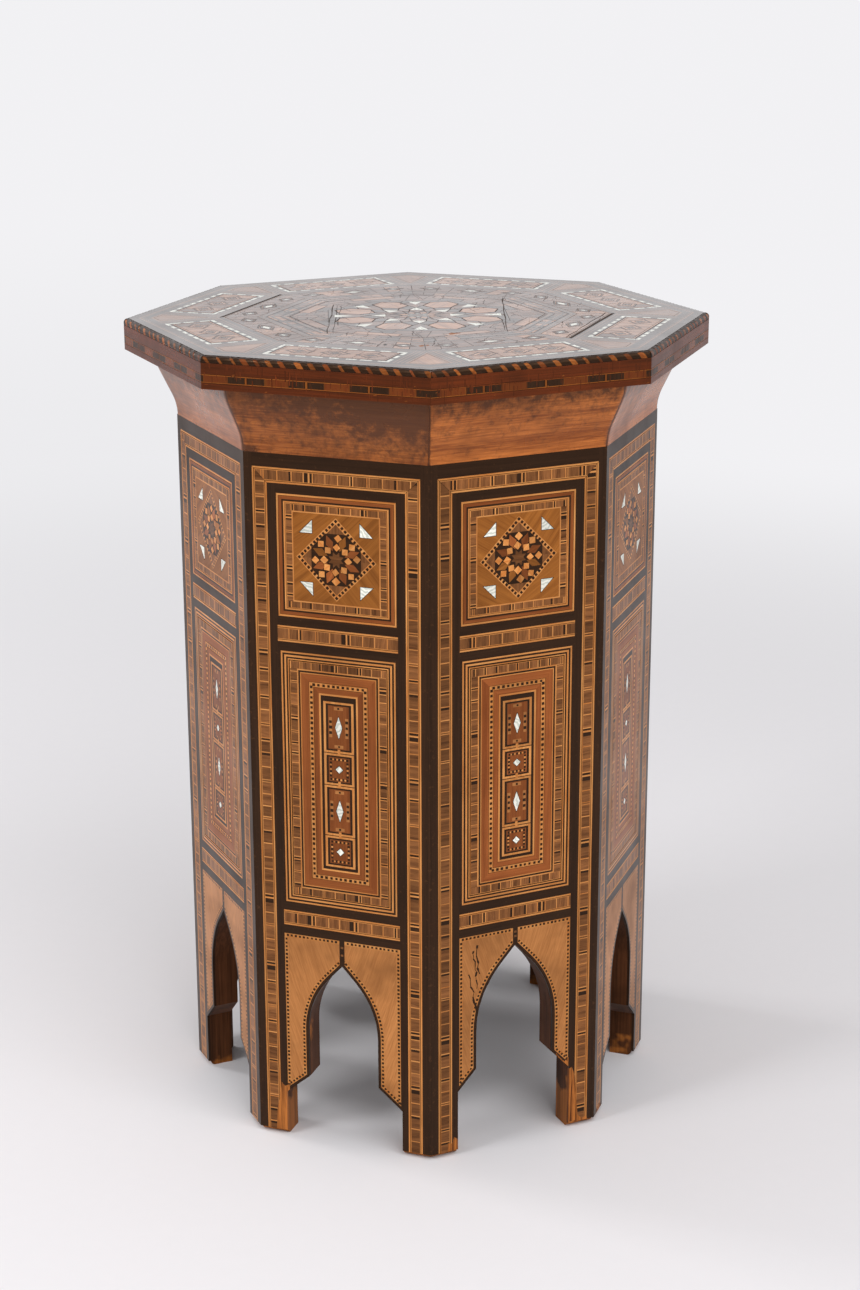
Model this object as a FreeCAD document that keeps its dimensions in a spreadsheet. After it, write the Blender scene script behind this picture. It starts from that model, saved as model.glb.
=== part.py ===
import FreeCAD, Part
import math
import os
import Sketcher

# Octagonal inlaid side table: eight posts, panels and arch boards under a coved cornice
# and a flat marquetry top. Millimetres, +Z up, origin on the floor under the middle of the top.
# A side is drawn as the front one, facing -Y, and a corner as the one on +X, and both are then
# turned to their places about the Z axis.

SIZES = [
    # whole table
    ("top_across", "400", "top, flat to flat over the nosing"),
    ("table_height", "600", "floor to top"),
    ("body_across", "332", "body, flat to flat over the veneers"),
    ("half_side_angle", "22.5", "half the angle that one side of the octagon takes, degrees"),
    ("overrun", "5", "how far a cut runs past what it cuts"),
    # carcass
    ("stock", "18", "thickness of posts, panels and arch boards"),
    ("veneer", "2", "thickness of every veneer and inlay"),
    ("foot_wear", "4", "rounding worn on the feet"),
    ("tongue_width", "6", "thickness of the tongues on panels and arch boards"),
    ("tongue_length", "5", "how far a tongue reaches into a post"),
    ("joint_clearance", "0.15", "room round a tongue in its groove"),
    ("groove_start", "70", "height where the posts' grooves begin"),
    # arch of a middling side
    ("spandrel_height", "171", "floor to the spandrels' upper edge"),
    ("key_height", "17", "arch's point to the spandrels' upper edge"),
    ("haunch_share", "2.37", "radius of the arch's haunch over half the arch's width"),
    ("arch_point_angle", "42", "lean of the arch's straight top from upright, degrees"),
    ("arch_cusp", "60", "height of the cusp under the arch"),
    ("foot_run", "17", "cusp to the leg, across"),
    ("foot_drop", "16", "cusp to where the arch board meets the leg, down"),
    ("arch_edging", "2.4", "width of the dark line round the arch"),
    # how the hand-cut sides differ
    ("rail_play", "4", "how far the lower rail stands up or down"),
    ("arch_play", "7.5", "how far the arch stands up or down"),
    ("width_play", "2", "how much wider or narrower half the arch is"),
    ("hand_1_share", "-1", "share of those plays on side 1"),
    ("hand_2_share", "1", "the same on side 2"),
    ("hand_3_share", "-0.9", "the same on side 3"),
    ("hand_4_share", "0.3", "the same on side 4"),
    ("hand_5_share", "-0.4", "the same on side 5"),
    ("hand_6_share", "0.5", "the same on side 6"),
    ("hand_7_share", "-0.2", "the same on side 7"),
    ("hand_8_share", "0", "the same on side 8"),
    # fields on a side; the tall panel takes what height the others leave
    ("head_strip", "10", "ebony above the banding"),
    ("outer_strip", "6.4", "ebony between the banding and the corner"),
    ("banding", "11", "width of the block banding"),
    ("leg_strip", "4.9", "ebony on a leg inside the banding"),
    ("rail_strip", "5.9", "ebony between the banding and a rail or spandrel"),
    ("medallion_strip", "6.9", "ebony between the banding and the medallion panel"),
    ("tall_strip", "7.9", "ebony between the banding and the tall panel"),
    ("fillet", "7", "ebony between two fields, one over the other"),
    ("rail", "11.75", "height of the two short rails of banding"),
    ("line_frame", "5.5", "width of the lines round a panel"),
    ("block_frame", "7", "width of the blocks inside those lines"),
    ("red_frame", "15.5", "width of the red frame of the tall panel"),
    ("diamond_line", "3.2", "width of the dotted line round the star"),
    ("lozenge_width", "6", "width of the tall pearl lozenges"),
    ("small_lozenge", "6.6", "small pearl lozenge, wide and high"),
    ("key_bar", "4", "width of the dark bar over the arch's point"),
    ("diamond_share", "0.939", "half diagonal of the star's square over half the golden field"),
    ("pearl_corner_share", "0.548", "pearl triangle's square corner from the middle, likewise"),
    ("pearl_leg_share", "0.329", "leg of a pearl triangle, likewise"),
    ("pitch_share", "0.232", "step from lozenge to lozenge over the innermost field's height"),
    ("drop_share", "0.033", "how far the lozenges sit low, likewise"),
    ("lozenge_share", "0.132", "height of a tall lozenge, likewise"),
    # cornice
    ("cove_height", "49", "height of the cornice"),
    ("cove_flare", "14.6", "how far the cornice leans out"),
    ("cove_lean_share", "1.5", "slope of the cornice's straight middle over its mean slope"),
    # top
    ("edge_height", "23", "height of the top's edge"),
    ("lipping", "14", "width of the edge boards"),
    ("nosing_height", "5", "height of the striped nosing"),
    ("nosing_width", "3.5", "width of the striped nosing"),
    ("nosing_slope", "2.5", "slope worn on the nosing's upper corner"),
    ("middle_plank", "124", "width of the middle plank of the top"),
    ("batten_width", "42", "width of a batten under the top"),
    ("batten_height", "16", "height of a batten"),
    ("batten_end", "15.5", "room between a batten's corner and the cornice"),
    ("batten_place", "72", "middle of a batten from the table's middle"),
    ("block_side", "24", "side of a glue block along the cornice"),
    ("block_height", "82", "height of a glue block"),
    # marquetry of the top
    ("border_strip", "15", "ebony round the top inside the nosing"),
    ("cartouche_length", "93", "length of a cartouche, along the edge"),
    ("cartouche_width", "38.5", "width of a cartouche, across the edge"),
    ("ring_strap", "8", "ebony between a cartouche and the middle octagon"),
    ("corner_strap", "11", "ebony between a cartouche's end and a corner piece"),
    ("ring_width", "30", "width of the outer ring of the middle octagon"),
    ("star_reach", "63", "middle of the top to the flat side of the star's octagon"),
    ("outer_base", "61.5", "middle of the top to the base of an outer pearl triangle"),
    ("outer_point", "48", "middle of the top to its point"),
    ("inner_base", "24", "middle of the top to the base of an inner pearl triangle"),
    ("inner_point", "35", "middle of the top to its point"),
    ("triangle_base", "10", "length of both bases"),
    ("petal_place", "48", "middle of a petal from the middle of the top"),
    ("petal_reach", "13", "middle of a petal to its corner"),
    ("ring_pearl_length", "12", "pearl lozenge of the ring, along the edge"),
    ("ring_pearl_width", "5", "its width"),
]

SIDES = range(1, 9)

doc = FreeCAD.newDocument("side_table")
sheet = doc.addObject("Spreadsheet::Sheet", "sizes")
for row, (alias, number, meaning) in enumerate(SIZES, start=1):
    sheet.set(f"A{row}", meaning)
    sheet.set(f"B{row}", number)
    sheet.setAlias(f"B{row}", alias)
doc.recompute()

# Places that many pieces share, as expressions in the sheet's names.
TAN = "tan(sizes.half_side_angle)"
COS = "cos(sizes.half_side_angle)"
SIN = "sin(sizes.half_side_angle)"
FACE = "(sizes.body_across / 2)"
GROUND = "(sizes.body_across / 2 - sizes.veneer)"
INNER = f"({GROUND} - sizes.stock)"
TONGUE_MIDDLE = f"({GROUND} - sizes.stock / 2)"
BODY_TOP = "(sizes.table_height - sizes.edge_height - sizes.cove_height)"
CORNICE_TOP = "(sizes.table_height - sizes.edge_height)"
PLANK_TOP = "(sizes.table_height - sizes.veneer)"
TOP_HALF = "(sizes.top_across / 2)"
PLANK_HALF = f"({TOP_HALF} - sizes.lipping)"
SHEET_HALF = f"({TOP_HALF} - sizes.nosing_width)"

# Widths on a side, from its middle line.
BAND_OUT = f"({FACE} * {TAN} - sizes.outer_strip)"
BAND_IN = f"({BAND_OUT} - sizes.banding)"
HALF_GAP = f"({BAND_IN} - sizes.leg_strip)"
FIELD = f"({BAND_IN} - sizes.rail_strip)"
MEDALLION_HALF = f"({BAND_IN} - sizes.medallion_strip)"
GOLDEN_HALF = f"({MEDALLION_HALF} - sizes.line_frame - sizes.block_frame)"
TALL_HALF = f"({BAND_IN} - sizes.tall_strip)"
TALL_FRAMES = "(sizes.line_frame + sizes.block_frame + sizes.red_frame)"

# Heights on a side, from the top down; the lower ones differ from side to side.
BAND_TOP = f"({BODY_TOP} - sizes.head_strip)"
BAND_UNDER = f"({BAND_TOP} - sizes.banding)"
MEDALLION_TOP = f"({BAND_UNDER} - sizes.fillet)"
MEDALLION_LOW = f"({MEDALLION_TOP} - 2 * {MEDALLION_HALF})"
MEDALLION_MIDDLE = f"({MEDALLION_TOP} - {MEDALLION_HALF})"
RAIL_TOP = f"({MEDALLION_LOW} - sizes.fillet)"
RAIL_LOW = f"({RAIL_TOP} - sizes.rail)"
TALL_TOP = f"({RAIL_LOW} - sizes.fillet)"


def hand(side):
    """Share by which one side's handwork differs from the middling one."""
    return f"sizes.hand_{side}_share"


def spandrel_top(side):
    """Upper edge of the spandrels, where the arch board meets the panel."""
    return f"(sizes.spandrel_height + sizes.rail_play * {hand(side)})"


def low_rail_low(side):
    """Lower edge of the lower rail of banding."""
    return f"({spandrel_top(side)} + sizes.fillet)"


def low_rail_top(side):
    """Upper edge of the lower rail of banding."""
    return f"({low_rail_low(side)} + sizes.rail)"


def tall_low(side):
    """Lower edge of the tall panel."""
    return f"({low_rail_top(side)} + sizes.fillet)"


def tall_middle(side):
    """Height of the tall panel's middle."""
    return f"(({TALL_TOP} + {tall_low(side)}) / 2)"


def tall_field_height(side):
    """Height of the tall panel's innermost field."""
    return f"({TALL_TOP} - {tall_low(side)} - 2 * {TALL_FRAMES})"


def value(expression):
    """Number that an expression in the sheet's names gives."""
    found = sheet.evalExpression(expression)
    return float(getattr(found, "Value", found))


def turned(steps):
    """Placement that turns a piece about the Z axis by a number of sides."""
    angle = 2 * value("sizes.half_side_angle") * steps
    upright = FreeCAD.Vector(0, 0, 1)
    return FreeCAD.Placement(FreeCAD.Vector(), FreeCAD.Rotation(upright, angle))


def side_place(side):
    """Placement of a piece drawn on the front side."""
    return turned(side - 1)


def corner_place(corner):
    """Placement of a piece drawn at the corner on +X; corner 1 follows side 1."""
    return turned(corner - 2.5)


def new_body(label):
    """Empty body that may hold one solid or several."""
    body = doc.addObject("PartDesign::Body", label)
    body.Label = label
    body.AllowCompound = True
    return body


def new_sketch(body, name, role, lift="0"):
    """Sketch on one of the body's origin planes, lifted along its normal."""
    sketch = body.newObject("Sketcher::SketchObject", name)
    plane = next(item for item in body.Origin.OriginFeatures if item.Role == role)
    sketch.AttachmentSupport = (plane, [""])
    sketch.MapMode = "FlatFace"
    if lift != "0":
        sketch.setExpression("AttachmentOffset.Base.z", lift)
    return sketch


def arc_between(start, end, radius, clockwise):
    """Arc of under half a circle from start to end, and which of its ends is the start."""
    chord = end - start
    height = math.sqrt(radius ** 2 - (chord.Length / 2) ** 2)
    left = FreeCAD.Vector(-chord.y, chord.x, 0).normalize()
    away = -height if clockwise else height
    centre = (start + end) / 2 + left * away
    circle = Part.Circle(centre, FreeCAD.Vector(0, 0, 1), radius)
    start_angle = math.atan2(start.y - centre.y, start.x - centre.x)
    end_angle = math.atan2(end.y - centre.y, end.x - centre.x)
    if clockwise:
        return Part.ArcOfCircle(circle, end_angle, start_angle), 2
    return Part.ArcOfCircle(circle, start_angle, end_angle), 1


def bind(sketch, rule, expression):
    """Add a constraint and tie its datum to an expression."""
    number = sketch.addConstraint(rule)
    sketch.setExpression(f"Constraints[{number}]", expression)


def draw_outline(sketch, corners, arcs=None):
    """Closed outline through corners given as pairs of expressions.

    arcs maps the number of a side to its radius and whether it turns clockwise.
    """
    arcs = arcs or {}
    first = sketch.GeometryCount
    points = [FreeCAD.Vector(value(across), value(along), 0) for across, along in corners]
    begins = []
    for index, point in enumerate(points):
        following = points[(index + 1) % len(points)]
        if index in arcs:
            radius, clockwise = arcs[index]
            curve, begin = arc_between(point, following, value(radius), clockwise)
        else:
            curve, begin = Part.LineSegment(point, following), 1
        sketch.addGeometry(curve, False)
        begins.append(begin)
    for index, (across, along) in enumerate(corners):
        line = first + index
        after = (index + 1) % len(corners)
        end = 3 - begins[index]
        joint = Sketcher.Constraint("Coincident", line, end, first + after, begins[after])
        sketch.addConstraint(joint)
        place = points[index]
        begin = begins[index]
        bind(sketch, Sketcher.Constraint("DistanceX", -1, 1, line, begin, place.x), across)
        bind(sketch, Sketcher.Constraint("DistanceY", -1, 1, line, begin, place.y), along)
        if index in arcs:
            radius = arcs[index][0]
            bind(sketch, Sketcher.Constraint("Radius", line, value(radius)), radius)


def pad(body, sketch, length, both_ways=False):
    """Solid raised from a sketch along its normal, or to both sides of it."""
    feature = body.newObject("PartDesign::Pad", f"{body.Name}_pad")
    feature.Profile = sketch
    feature.setExpression("Length", length)
    if both_ways:
        feature.SideType = "Symmetric"
    return feature


def cut(body, sketch, length=None):
    """Pocket: upwards from the sketch by a length, or through all on both sides of it."""
    doc.recompute()
    before = body.Shape.Volume
    feature = body.newObject("PartDesign::Pocket", f"{body.Name}_cut")
    feature.Profile = sketch
    if length is None:
        feature.Type = "ThroughAll"
        feature.SideType = "Symmetric"
    else:
        feature.Reversed = True
        feature.setExpression("Length", length)
    doc.recompute()
    if body.Shape.Volume >= before:
        raise RuntimeError(f"the cut in {body.Label} removes nothing")
    return feature


def box_loop(left, right, low, high):
    """Corners of an upright rectangle."""
    return [(left, low), (right, low), (right, high), (left, high)]


def centred_loop(half_width, half_height, middle):
    """Corners of a rectangle centred on the side's middle line."""
    low = f"({middle} - {half_height})"
    high = f"({middle} + {half_height})"
    return box_loop(f"-{half_width}", half_width, low, high)


def inlay(label, loops):
    """Veneer on the front side: closed loops, an inner loop being a window."""
    body = new_body(label)
    sketch = new_sketch(body, f"{label}_outline", "XZ_Plane", GROUND)
    for corners, arcs in loops:
        draw_outline(sketch, corners, arcs)
    pad(body, sketch, "sizes.veneer")
    return body


def group(label, members):
    """One node that holds several separate solids."""
    node = doc.addObject("Part::Compound", label)
    node.Label = label
    node.Links = members
    return node


def on_arm(reach, depth, upper=True):
    """Point of a corner on +X: reach along the face from the edge, depth below the face."""
    across = f"({GROUND} / {COS} - ({reach}) * {SIN} - ({depth}) * {COS})"
    along = f"(({reach}) * {COS} - ({depth}) * {SIN})"
    return across, along if upper else f"-{along}"


def corner_post(corner):
    """Post and leg of one piece round the corner, grooved for the boards on both sides."""
    body = new_body(f"corner_post_{corner}")
    arm = f"({GROUND} * {TAN} - {HALF_GAP})"
    plan = new_sketch(body, f"post_plan_{corner}", "XY_Plane")
    outer = (f"({GROUND} / {COS})", "0")
    inner = (f"({INNER} / {COS})", "0")
    upper = [on_arm(arm, "0"), on_arm(arm, "sizes.stock")]
    lower = [on_arm(arm, "sizes.stock", False), on_arm(arm, "0", False)]
    draw_outline(plan, [outer] + upper + [inner] + lower)
    pad(body, plan, BODY_TOP)
    grooves = new_sketch(body, f"post_grooves_{corner}", "XY_Plane", "sizes.groove_start")
    half = "(sizes.tongue_width / 2 + sizes.joint_clearance)"
    near = f"({arm} + sizes.overrun)"
    far = f"({arm} - sizes.tongue_length - sizes.joint_clearance)"
    shallow = f"(sizes.stock / 2 - {half})"
    deep = f"(sizes.stock / 2 + {half})"
    ring = [(near, shallow), (near, deep), (far, deep), (far, shallow)]
    for upper_arm in (True, False):
        draw_outline(grooves, [on_arm(reach, depth, upper_arm) for reach, depth in ring])
    last = cut(body, grooves, f"{BODY_TOP} - sizes.groove_start + sizes.overrun")
    near_nothing = value("sizes.joint_clearance")
    foot = []
    for number, edge in enumerate(last.Shape.Edges, start=1):
        middle = edge.BoundBox.Center
        reach = middle.x * value(COS) + abs(middle.y) * value(SIN)
        on_face = value(GROUND) - reach < near_nothing
        if on_face and edge.BoundBox.ZMax < near_nothing:
            foot.append(f"Edge{number}")
    wear = body.newObject("PartDesign::Fillet", f"foot_wear_{corner}")
    wear.Base = (last, foot)
    wear.setExpression("Radius", "sizes.foot_wear")
    body.Placement = corner_place(corner)
    return body


def side_panel(side):
    """Board between two posts, tongued into both."""
    body = new_body(f"side_panel_{side}")
    plan = new_sketch(body, f"panel_plan_{side}", "XY_Plane", spandrel_top(side))
    tip = f"({HALF_GAP} + sizes.tongue_length)"
    front = f"-({TONGUE_MIDDLE} + sizes.tongue_width / 2)"
    back = f"-({TONGUE_MIDDLE} - sizes.tongue_width / 2)"
    right = [
        (HALF_GAP, f"-{GROUND}"),
        (HALF_GAP, front),
        (tip, front),
        (tip, back),
        (HALF_GAP, back),
        (HALF_GAP, f"-{INNER}"),
    ]
    left = [(f"-{across}", along) for across, along in reversed(right)]
    draw_outline(plan, right + left)
    pad(body, plan, f"{BODY_TOP} - {spandrel_top(side)}")
    body.Placement = side_place(side)
    return body


def arch_path(side, offset="0"):
    """Right half of the arch's edge, from its point down to the leg, grown by an offset."""
    lean = "sizes.arch_point_angle"
    play = f"sizes.arch_play * {hand(side)}"
    run = f"(sizes.foot_run - sizes.width_play * {hand(side)})"
    clear_half = f"({HALF_GAP} - {run})"
    half = f"({clear_half} + {offset})"
    haunch = f"(sizes.haunch_share * {clear_half} + {offset})"
    apex = f"(sizes.spandrel_height - sizes.key_height + {play} + {offset} / sin({lean}))"
    start = f"({half} - {haunch} * (1 - cos({lean})))"
    start_height = f"({apex} - {start} / tan({lean}))"
    spring = f"({start_height} - {haunch} * sin({lean}))"
    slope = f"(sizes.foot_drop / {run})"
    rise = f"({offset} * (sqrt(1 + {slope} * {slope}) - {slope}))"
    cusp = f"(sizes.arch_cusp + {play} + {rise})"
    return {
        "apex": apex,
        "start": start,
        "start_height": start_height,
        "half": half,
        "haunch": haunch,
        "spring": spring,
        "cusp": cusp,
        "slope": slope,
    }


def foot_height(path, across):
    """Height of the slanting cut under the cusp at a distance from the middle line."""
    return f"({path['cusp']} - ({across} - {path['half']}) * {path['slope']})"


def arch_corners(path, end):
    """Right half of the arch's edge as corners, from the haunch's start to its end."""
    return [
        (path["start"], path["start_height"]),
        (path["half"], path["spring"]),
        (path["half"], path["cusp"]),
        (end, foot_height(path, end)),
    ]


def mirrored(corners):
    """The same corners on the left, in reversed order."""
    return [(f"-{across}", along) for across, along in reversed(corners)]


def arch_board(side):
    """Board under the panel with the pointed arch cut in it, tongued into both posts."""
    body = new_body(f"arch_board_{side}")
    path = arch_path(side)
    top = spandrel_top(side)
    right = arch_corners(path, HALF_GAP) + [(HALF_GAP, top)]
    corners = [("0", path["apex"])] + right + mirrored(right)
    arcs = {1: (path["haunch"], True), 9: (path["haunch"], True)}
    outline = new_sketch(body, f"arch_outline_{side}", "XZ_Plane", INNER)
    draw_outline(outline, corners, arcs)
    pad(body, outline, "sizes.stock")
    lift = f"{TONGUE_MIDDLE} - sizes.tongue_width / 2"
    tongues = new_sketch(body, f"arch_tongues_{side}", "XZ_Plane", lift)
    tip = f"({HALF_GAP} + sizes.tongue_length)"
    low = "(sizes.groove_start + sizes.joint_clearance)"
    draw_outline(tongues, box_loop(HALF_GAP, tip, low, top))
    draw_outline(tongues, box_loop(f"-{tip}", f"-{HALF_GAP}", low, top))
    pad(body, tongues, "sizes.tongue_width")
    body.Placement = side_place(side)
    return body


def mitre(body, far):
    """Cut both ends of a board along the lines to its corners."""
    plan = new_sketch(body, f"{body.Name}_mitres", "XY_Plane")
    near = f"({INNER} / 2)"
    wide = f"({far} * {TAN} + {far})"
    right = [
        (f"({near} * {TAN})", f"-{near}"),
        (f"({far} * {TAN})", f"-{far}"),
        (wide, f"-{far}"),
        (wide, f"-{near}"),
    ]
    draw_outline(plan, right)
    draw_outline(plan, mirrored(right))
    return cut(body, plan)


def mitred_board(label, side, profile, arcs, widest):
    """Board of one profile along a side of the octagon, its ends mitred."""
    body = new_body(label)
    section = new_sketch(body, f"{label}_section", "YZ_Plane")
    draw_outline(section, profile, arcs)
    pad(body, section, f"2 * ({widest} * {TAN} + sizes.overrun)", both_ways=True)
    mitre(body, f"({widest} + sizes.overrun)")
    body.Placement = side_place(side)
    return body


def cornice_board(side):
    """Coved board on top of the carcass: upright, leaning out, upright again."""
    slope = "(sizes.cove_lean_share * sizes.cove_flare / sizes.cove_height)"
    lean = f"atan({slope})"
    round_ = f"((sizes.cove_lean_share - 1) * sizes.cove_flare / (1 / cos({lean}) - 1) / 2)"
    out = f"({round_} * (1 - cos({lean})))"
    up = f"({round_} * sin({lean}))"
    crown = f"({FACE} + sizes.cove_flare)"
    profile = [
        (f"-{INNER}", CORNICE_TOP),
        (f"-{INNER}", BODY_TOP),
        (f"-{FACE}", BODY_TOP),
        (f"-({FACE} + {out})", f"({BODY_TOP} + {up})"),
        (f"-({crown} - {out})", f"({CORNICE_TOP} - {up})"),
        (f"-{crown}", CORNICE_TOP),
    ]
    arcs = {2: (round_, False), 4: (round_, True)}
    return mitred_board(f"cornice_board_{side}", side, profile, arcs, crown)


def edge_board(side):
    """Board round the top's planks, stepped for the nosing."""
    nosing_low = "(sizes.table_height - sizes.nosing_height)"
    profile = [
        (f"-{PLANK_HALF}", PLANK_TOP),
        (f"-{PLANK_HALF}", CORNICE_TOP),
        (f"-{TOP_HALF}", CORNICE_TOP),
        (f"-{TOP_HALF}", nosing_low),
        (f"-{SHEET_HALF}", nosing_low),
        (f"-{SHEET_HALF}", PLANK_TOP),
    ]
    return mitred_board(f"edge_board_{side}", side, profile, None, TOP_HALF)


def nosing(side):
    """Striped nosing along one side of the top, its upper corner worn off."""
    low = "(sizes.table_height - sizes.nosing_height)"
    high = "sizes.table_height"
    profile = [
        (f"-{SHEET_HALF}", high),
        (f"-{SHEET_HALF}", low),
        (f"-{TOP_HALF}", low),
        (f"-{TOP_HALF}", f"({high} - sizes.nosing_slope)"),
        (f"-({TOP_HALF} - sizes.nosing_slope)", high),
    ]
    return mitred_board(f"nosing_{side}", side, profile, None, TOP_HALF)


def octagon_prism(name, apothem, low, height):
    """Octagonal prism with sides facing the axes."""
    prism = doc.addObject("Part::Prism", name)
    prism.Polygon = len(SIDES)
    prism.setExpression("Circumradius", f"{apothem} / {COS}")
    prism.setExpression("Height", height)
    prism.Placement = turned(0.5)
    prism.setExpression("Placement.Base.z", low)
    return prism


def box(name, left, front, low, length, width, height):
    """Box from its low corner, bound to the sheet."""
    solid = doc.addObject("Part::Box", name)
    solid.setExpression("Length", length)
    solid.setExpression("Width", width)
    solid.setExpression("Height", height)
    solid.setExpression("Placement.Base.x", left)
    solid.setExpression("Placement.Base.y", front)
    solid.setExpression("Placement.Base.z", low)
    return solid


def top_planks():
    """Three planks edge to edge, sawn to the octagon inside the edge boards."""
    thickness = f"{PLANK_TOP} - {CORNICE_TOP}"
    half = "(sizes.middle_plank / 2)"
    bands = {
        "front": (f"-{PLANK_HALF}", f"{PLANK_HALF} - {half}"),
        "middle": (f"-{half}", "sizes.middle_plank"),
        "back": (half, f"{PLANK_HALF} - {half}"),
    }
    planks = []
    for place, (front, width) in bands.items():
        octagon = octagon_prism(f"{place}_octagon", PLANK_HALF, CORNICE_TOP, thickness)
        length = f"2 * {PLANK_HALF}"
        band = box(f"{place}_band", f"-{PLANK_HALF}", front, CORNICE_TOP, length, width, thickness)
        plank = doc.addObject("Part::Common", f"top_plank_{place}")
        plank.Label = f"top_plank_{place}"
        plank.Base = octagon
        plank.Tool = band
        planks.append(plank)
    return planks


def top_battens():
    """Two battens across the planks, inside the cornice."""
    low = f"{CORNICE_TOP} - sizes.batten_height"
    half = "sizes.batten_width / 2"
    side = f"({INNER} / cos(2 * sizes.half_side_angle))"
    half_length = f"({side} - sizes.batten_place - {half} - sizes.batten_end)"
    battens = []
    for name, middle in (("left", "-sizes.batten_place"), ("right", "sizes.batten_place")):
        left = f"{middle} - {half}"
        front = f"-{half_length}"
        sizes = ("sizes.batten_width", f"2 * {half_length}", "sizes.batten_height")
        battens.append(box(f"batten_{name}", left, front, low, *sizes))
    return group("top_battens", battens)


def glue_blocks():
    """Three-cornered blocks glued behind the corners, half on the posts, half on the cornice."""
    blocks = []
    for corner in SIDES:
        body = new_body(f"glue_block_{corner}")
        lift = f"{CORNICE_TOP} - sizes.block_height"
        plan = new_sketch(body, f"block_plan_{corner}", "XY_Plane", lift)
        edge = f"({INNER} / {COS})"
        back = f"({edge} - sizes.block_side * {SIN})"
        side = f"(sizes.block_side * {COS})"
        draw_outline(plan, [(edge, "0"), (back, side), (back, f"-{side}")])
        pad(body, plan, "sizes.block_height")
        body.Placement = corner_place(corner)
        blocks.append(body)
    return group("glue_blocks", blocks)


def corner_strip(side, left):
    """Ebony strip at the corner of a side, mitred against its neighbour round the corner."""
    name = "left" if left else "right"
    body = new_body(f"corner_strip_{side}_{name}")
    plan = new_sketch(body, f"strip_plan_{side}_{name}", "XY_Plane", "sizes.foot_wear")
    corners = [
        (BAND_OUT, f"-{FACE}"),
        (f"({FACE} * {TAN})", f"-{FACE}"),
        (f"({GROUND} * {TAN})", f"-{GROUND}"),
        (BAND_OUT, f"-{GROUND}"),
    ]
    draw_outline(plan, mirrored(corners) if left else corners)
    pad(body, plan, f"{BODY_TOP} - sizes.foot_wear")
    body.Placement = side_place(side)
    return body


def ebony_ground(side):
    """Ebony round the fields of a side and down the inner edges of its legs."""
    edging = arch_path(side, "sizes.arch_edging")
    foot = "sizes.foot_wear"
    right = [
        (FIELD, spandrel_top(side)),
        (FIELD, foot_height(edging, FIELD)),
        (HALF_GAP, foot_height(edging, HALF_GAP)),
        (HALF_GAP, foot),
        (BAND_IN, foot),
        (BAND_IN, BAND_UNDER),
    ]
    medallion = centred_loop(MEDALLION_HALF, MEDALLION_HALF, MEDALLION_MIDDLE)
    rail = box_loop(f"-{FIELD}", FIELD, RAIL_LOW, RAIL_TOP)
    tall = box_loop(f"-{TALL_HALF}", TALL_HALF, tall_low(side), TALL_TOP)
    low_rail = box_loop(f"-{FIELD}", FIELD, low_rail_low(side), low_rail_top(side))
    outline = right + mirrored(right)
    loops = [(loop, None) for loop in (outline, medallion, rail, tall, low_rail)]
    body = inlay(f"ebony_ground_{side}", loops)
    body.Placement = side_place(side)
    return body


def head_strip(side):
    """Ebony strip over the banding."""
    loop = box_loop(f"-{BAND_OUT}", BAND_OUT, BAND_TOP, BODY_TOP)
    body = inlay(f"head_strip_{side}", [(loop, None)])
    body.Placement = side_place(side)
    return body


def ebony_strips():
    """All ebony of the sides."""
    strips = []
    for side in SIDES:
        strips.append(corner_strip(side, True))
        strips.append(corner_strip(side, False))
        strips.append(head_strip(side))
        strips.append(ebony_ground(side))
    return group("ebony_strips", strips)


def block_banding():
    """Block banding: two uprights and a head, mitred, and two short rails on every side."""
    strips = []
    foot = "sizes.foot_wear"
    upright = [(BAND_IN, foot), (BAND_OUT, foot), (BAND_OUT, BAND_TOP), (BAND_IN, BAND_UNDER)]
    head_right = [(BAND_IN, BAND_UNDER), (BAND_OUT, BAND_TOP)]
    for side in SIDES:
        low_rail = box_loop(f"-{FIELD}", FIELD, low_rail_low(side), low_rail_top(side))
        loops = {
            "right": upright,
            "left": mirrored(upright),
            "head": head_right + mirrored(head_right),
            "rail": box_loop(f"-{FIELD}", FIELD, RAIL_LOW, RAIL_TOP),
            "low_rail": low_rail,
        }
        for name, loop in loops.items():
            body = inlay(f"banding_{name}_{side}", [(loop, None)])
            body.Placement = side_place(side)
            strips.append(body)
    return group("block_banding", strips)


def frame_loops(half_width, half_height, middle, width):
    """Outer and inner loop of a frame, and the half sizes of what it leaves inside."""
    inner_width = f"({half_width} - {width})"
    inner_height = f"({half_height} - {width})"
    outer = centred_loop(half_width, half_height, middle)
    inner = centred_loop(inner_width, inner_height, middle)
    return [(outer, None), (inner, None)], inner_width, inner_height


def panel_frames():
    """Nested frames of the medallion and of the tall panel on every side."""
    frames = []
    for side in SIDES:
        medallion = [MEDALLION_HALF, MEDALLION_HALF]
        tall = [TALL_HALF, f"(({TALL_TOP} - {tall_low(side)}) / 2)"]
        panels = {
            "medallion": (medallion, MEDALLION_MIDDLE, ["line_frame", "block_frame"]),
            "tall": (tall, tall_middle(side), ["line_frame", "block_frame", "red_frame"]),
        }
        for name, (halves, middle, widths) in panels.items():
            for width in widths:
                loops, *halves = frame_loops(*halves, middle, f"sizes.{width}")
                body = inlay(f"{name}_{width}_{side}", loops)
                body.Placement = side_place(side)
                frames.append(body)
    return group("panel_frames", frames)


def lozenge_loop(half_width, half_height, middle):
    """Corners of a lozenge on the middle line."""
    return [
        ("0", f"({middle} - {half_height})"),
        (half_width, middle),
        ("0", f"({middle} + {half_height})"),
        (f"-{half_width}", middle),
    ]


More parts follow.
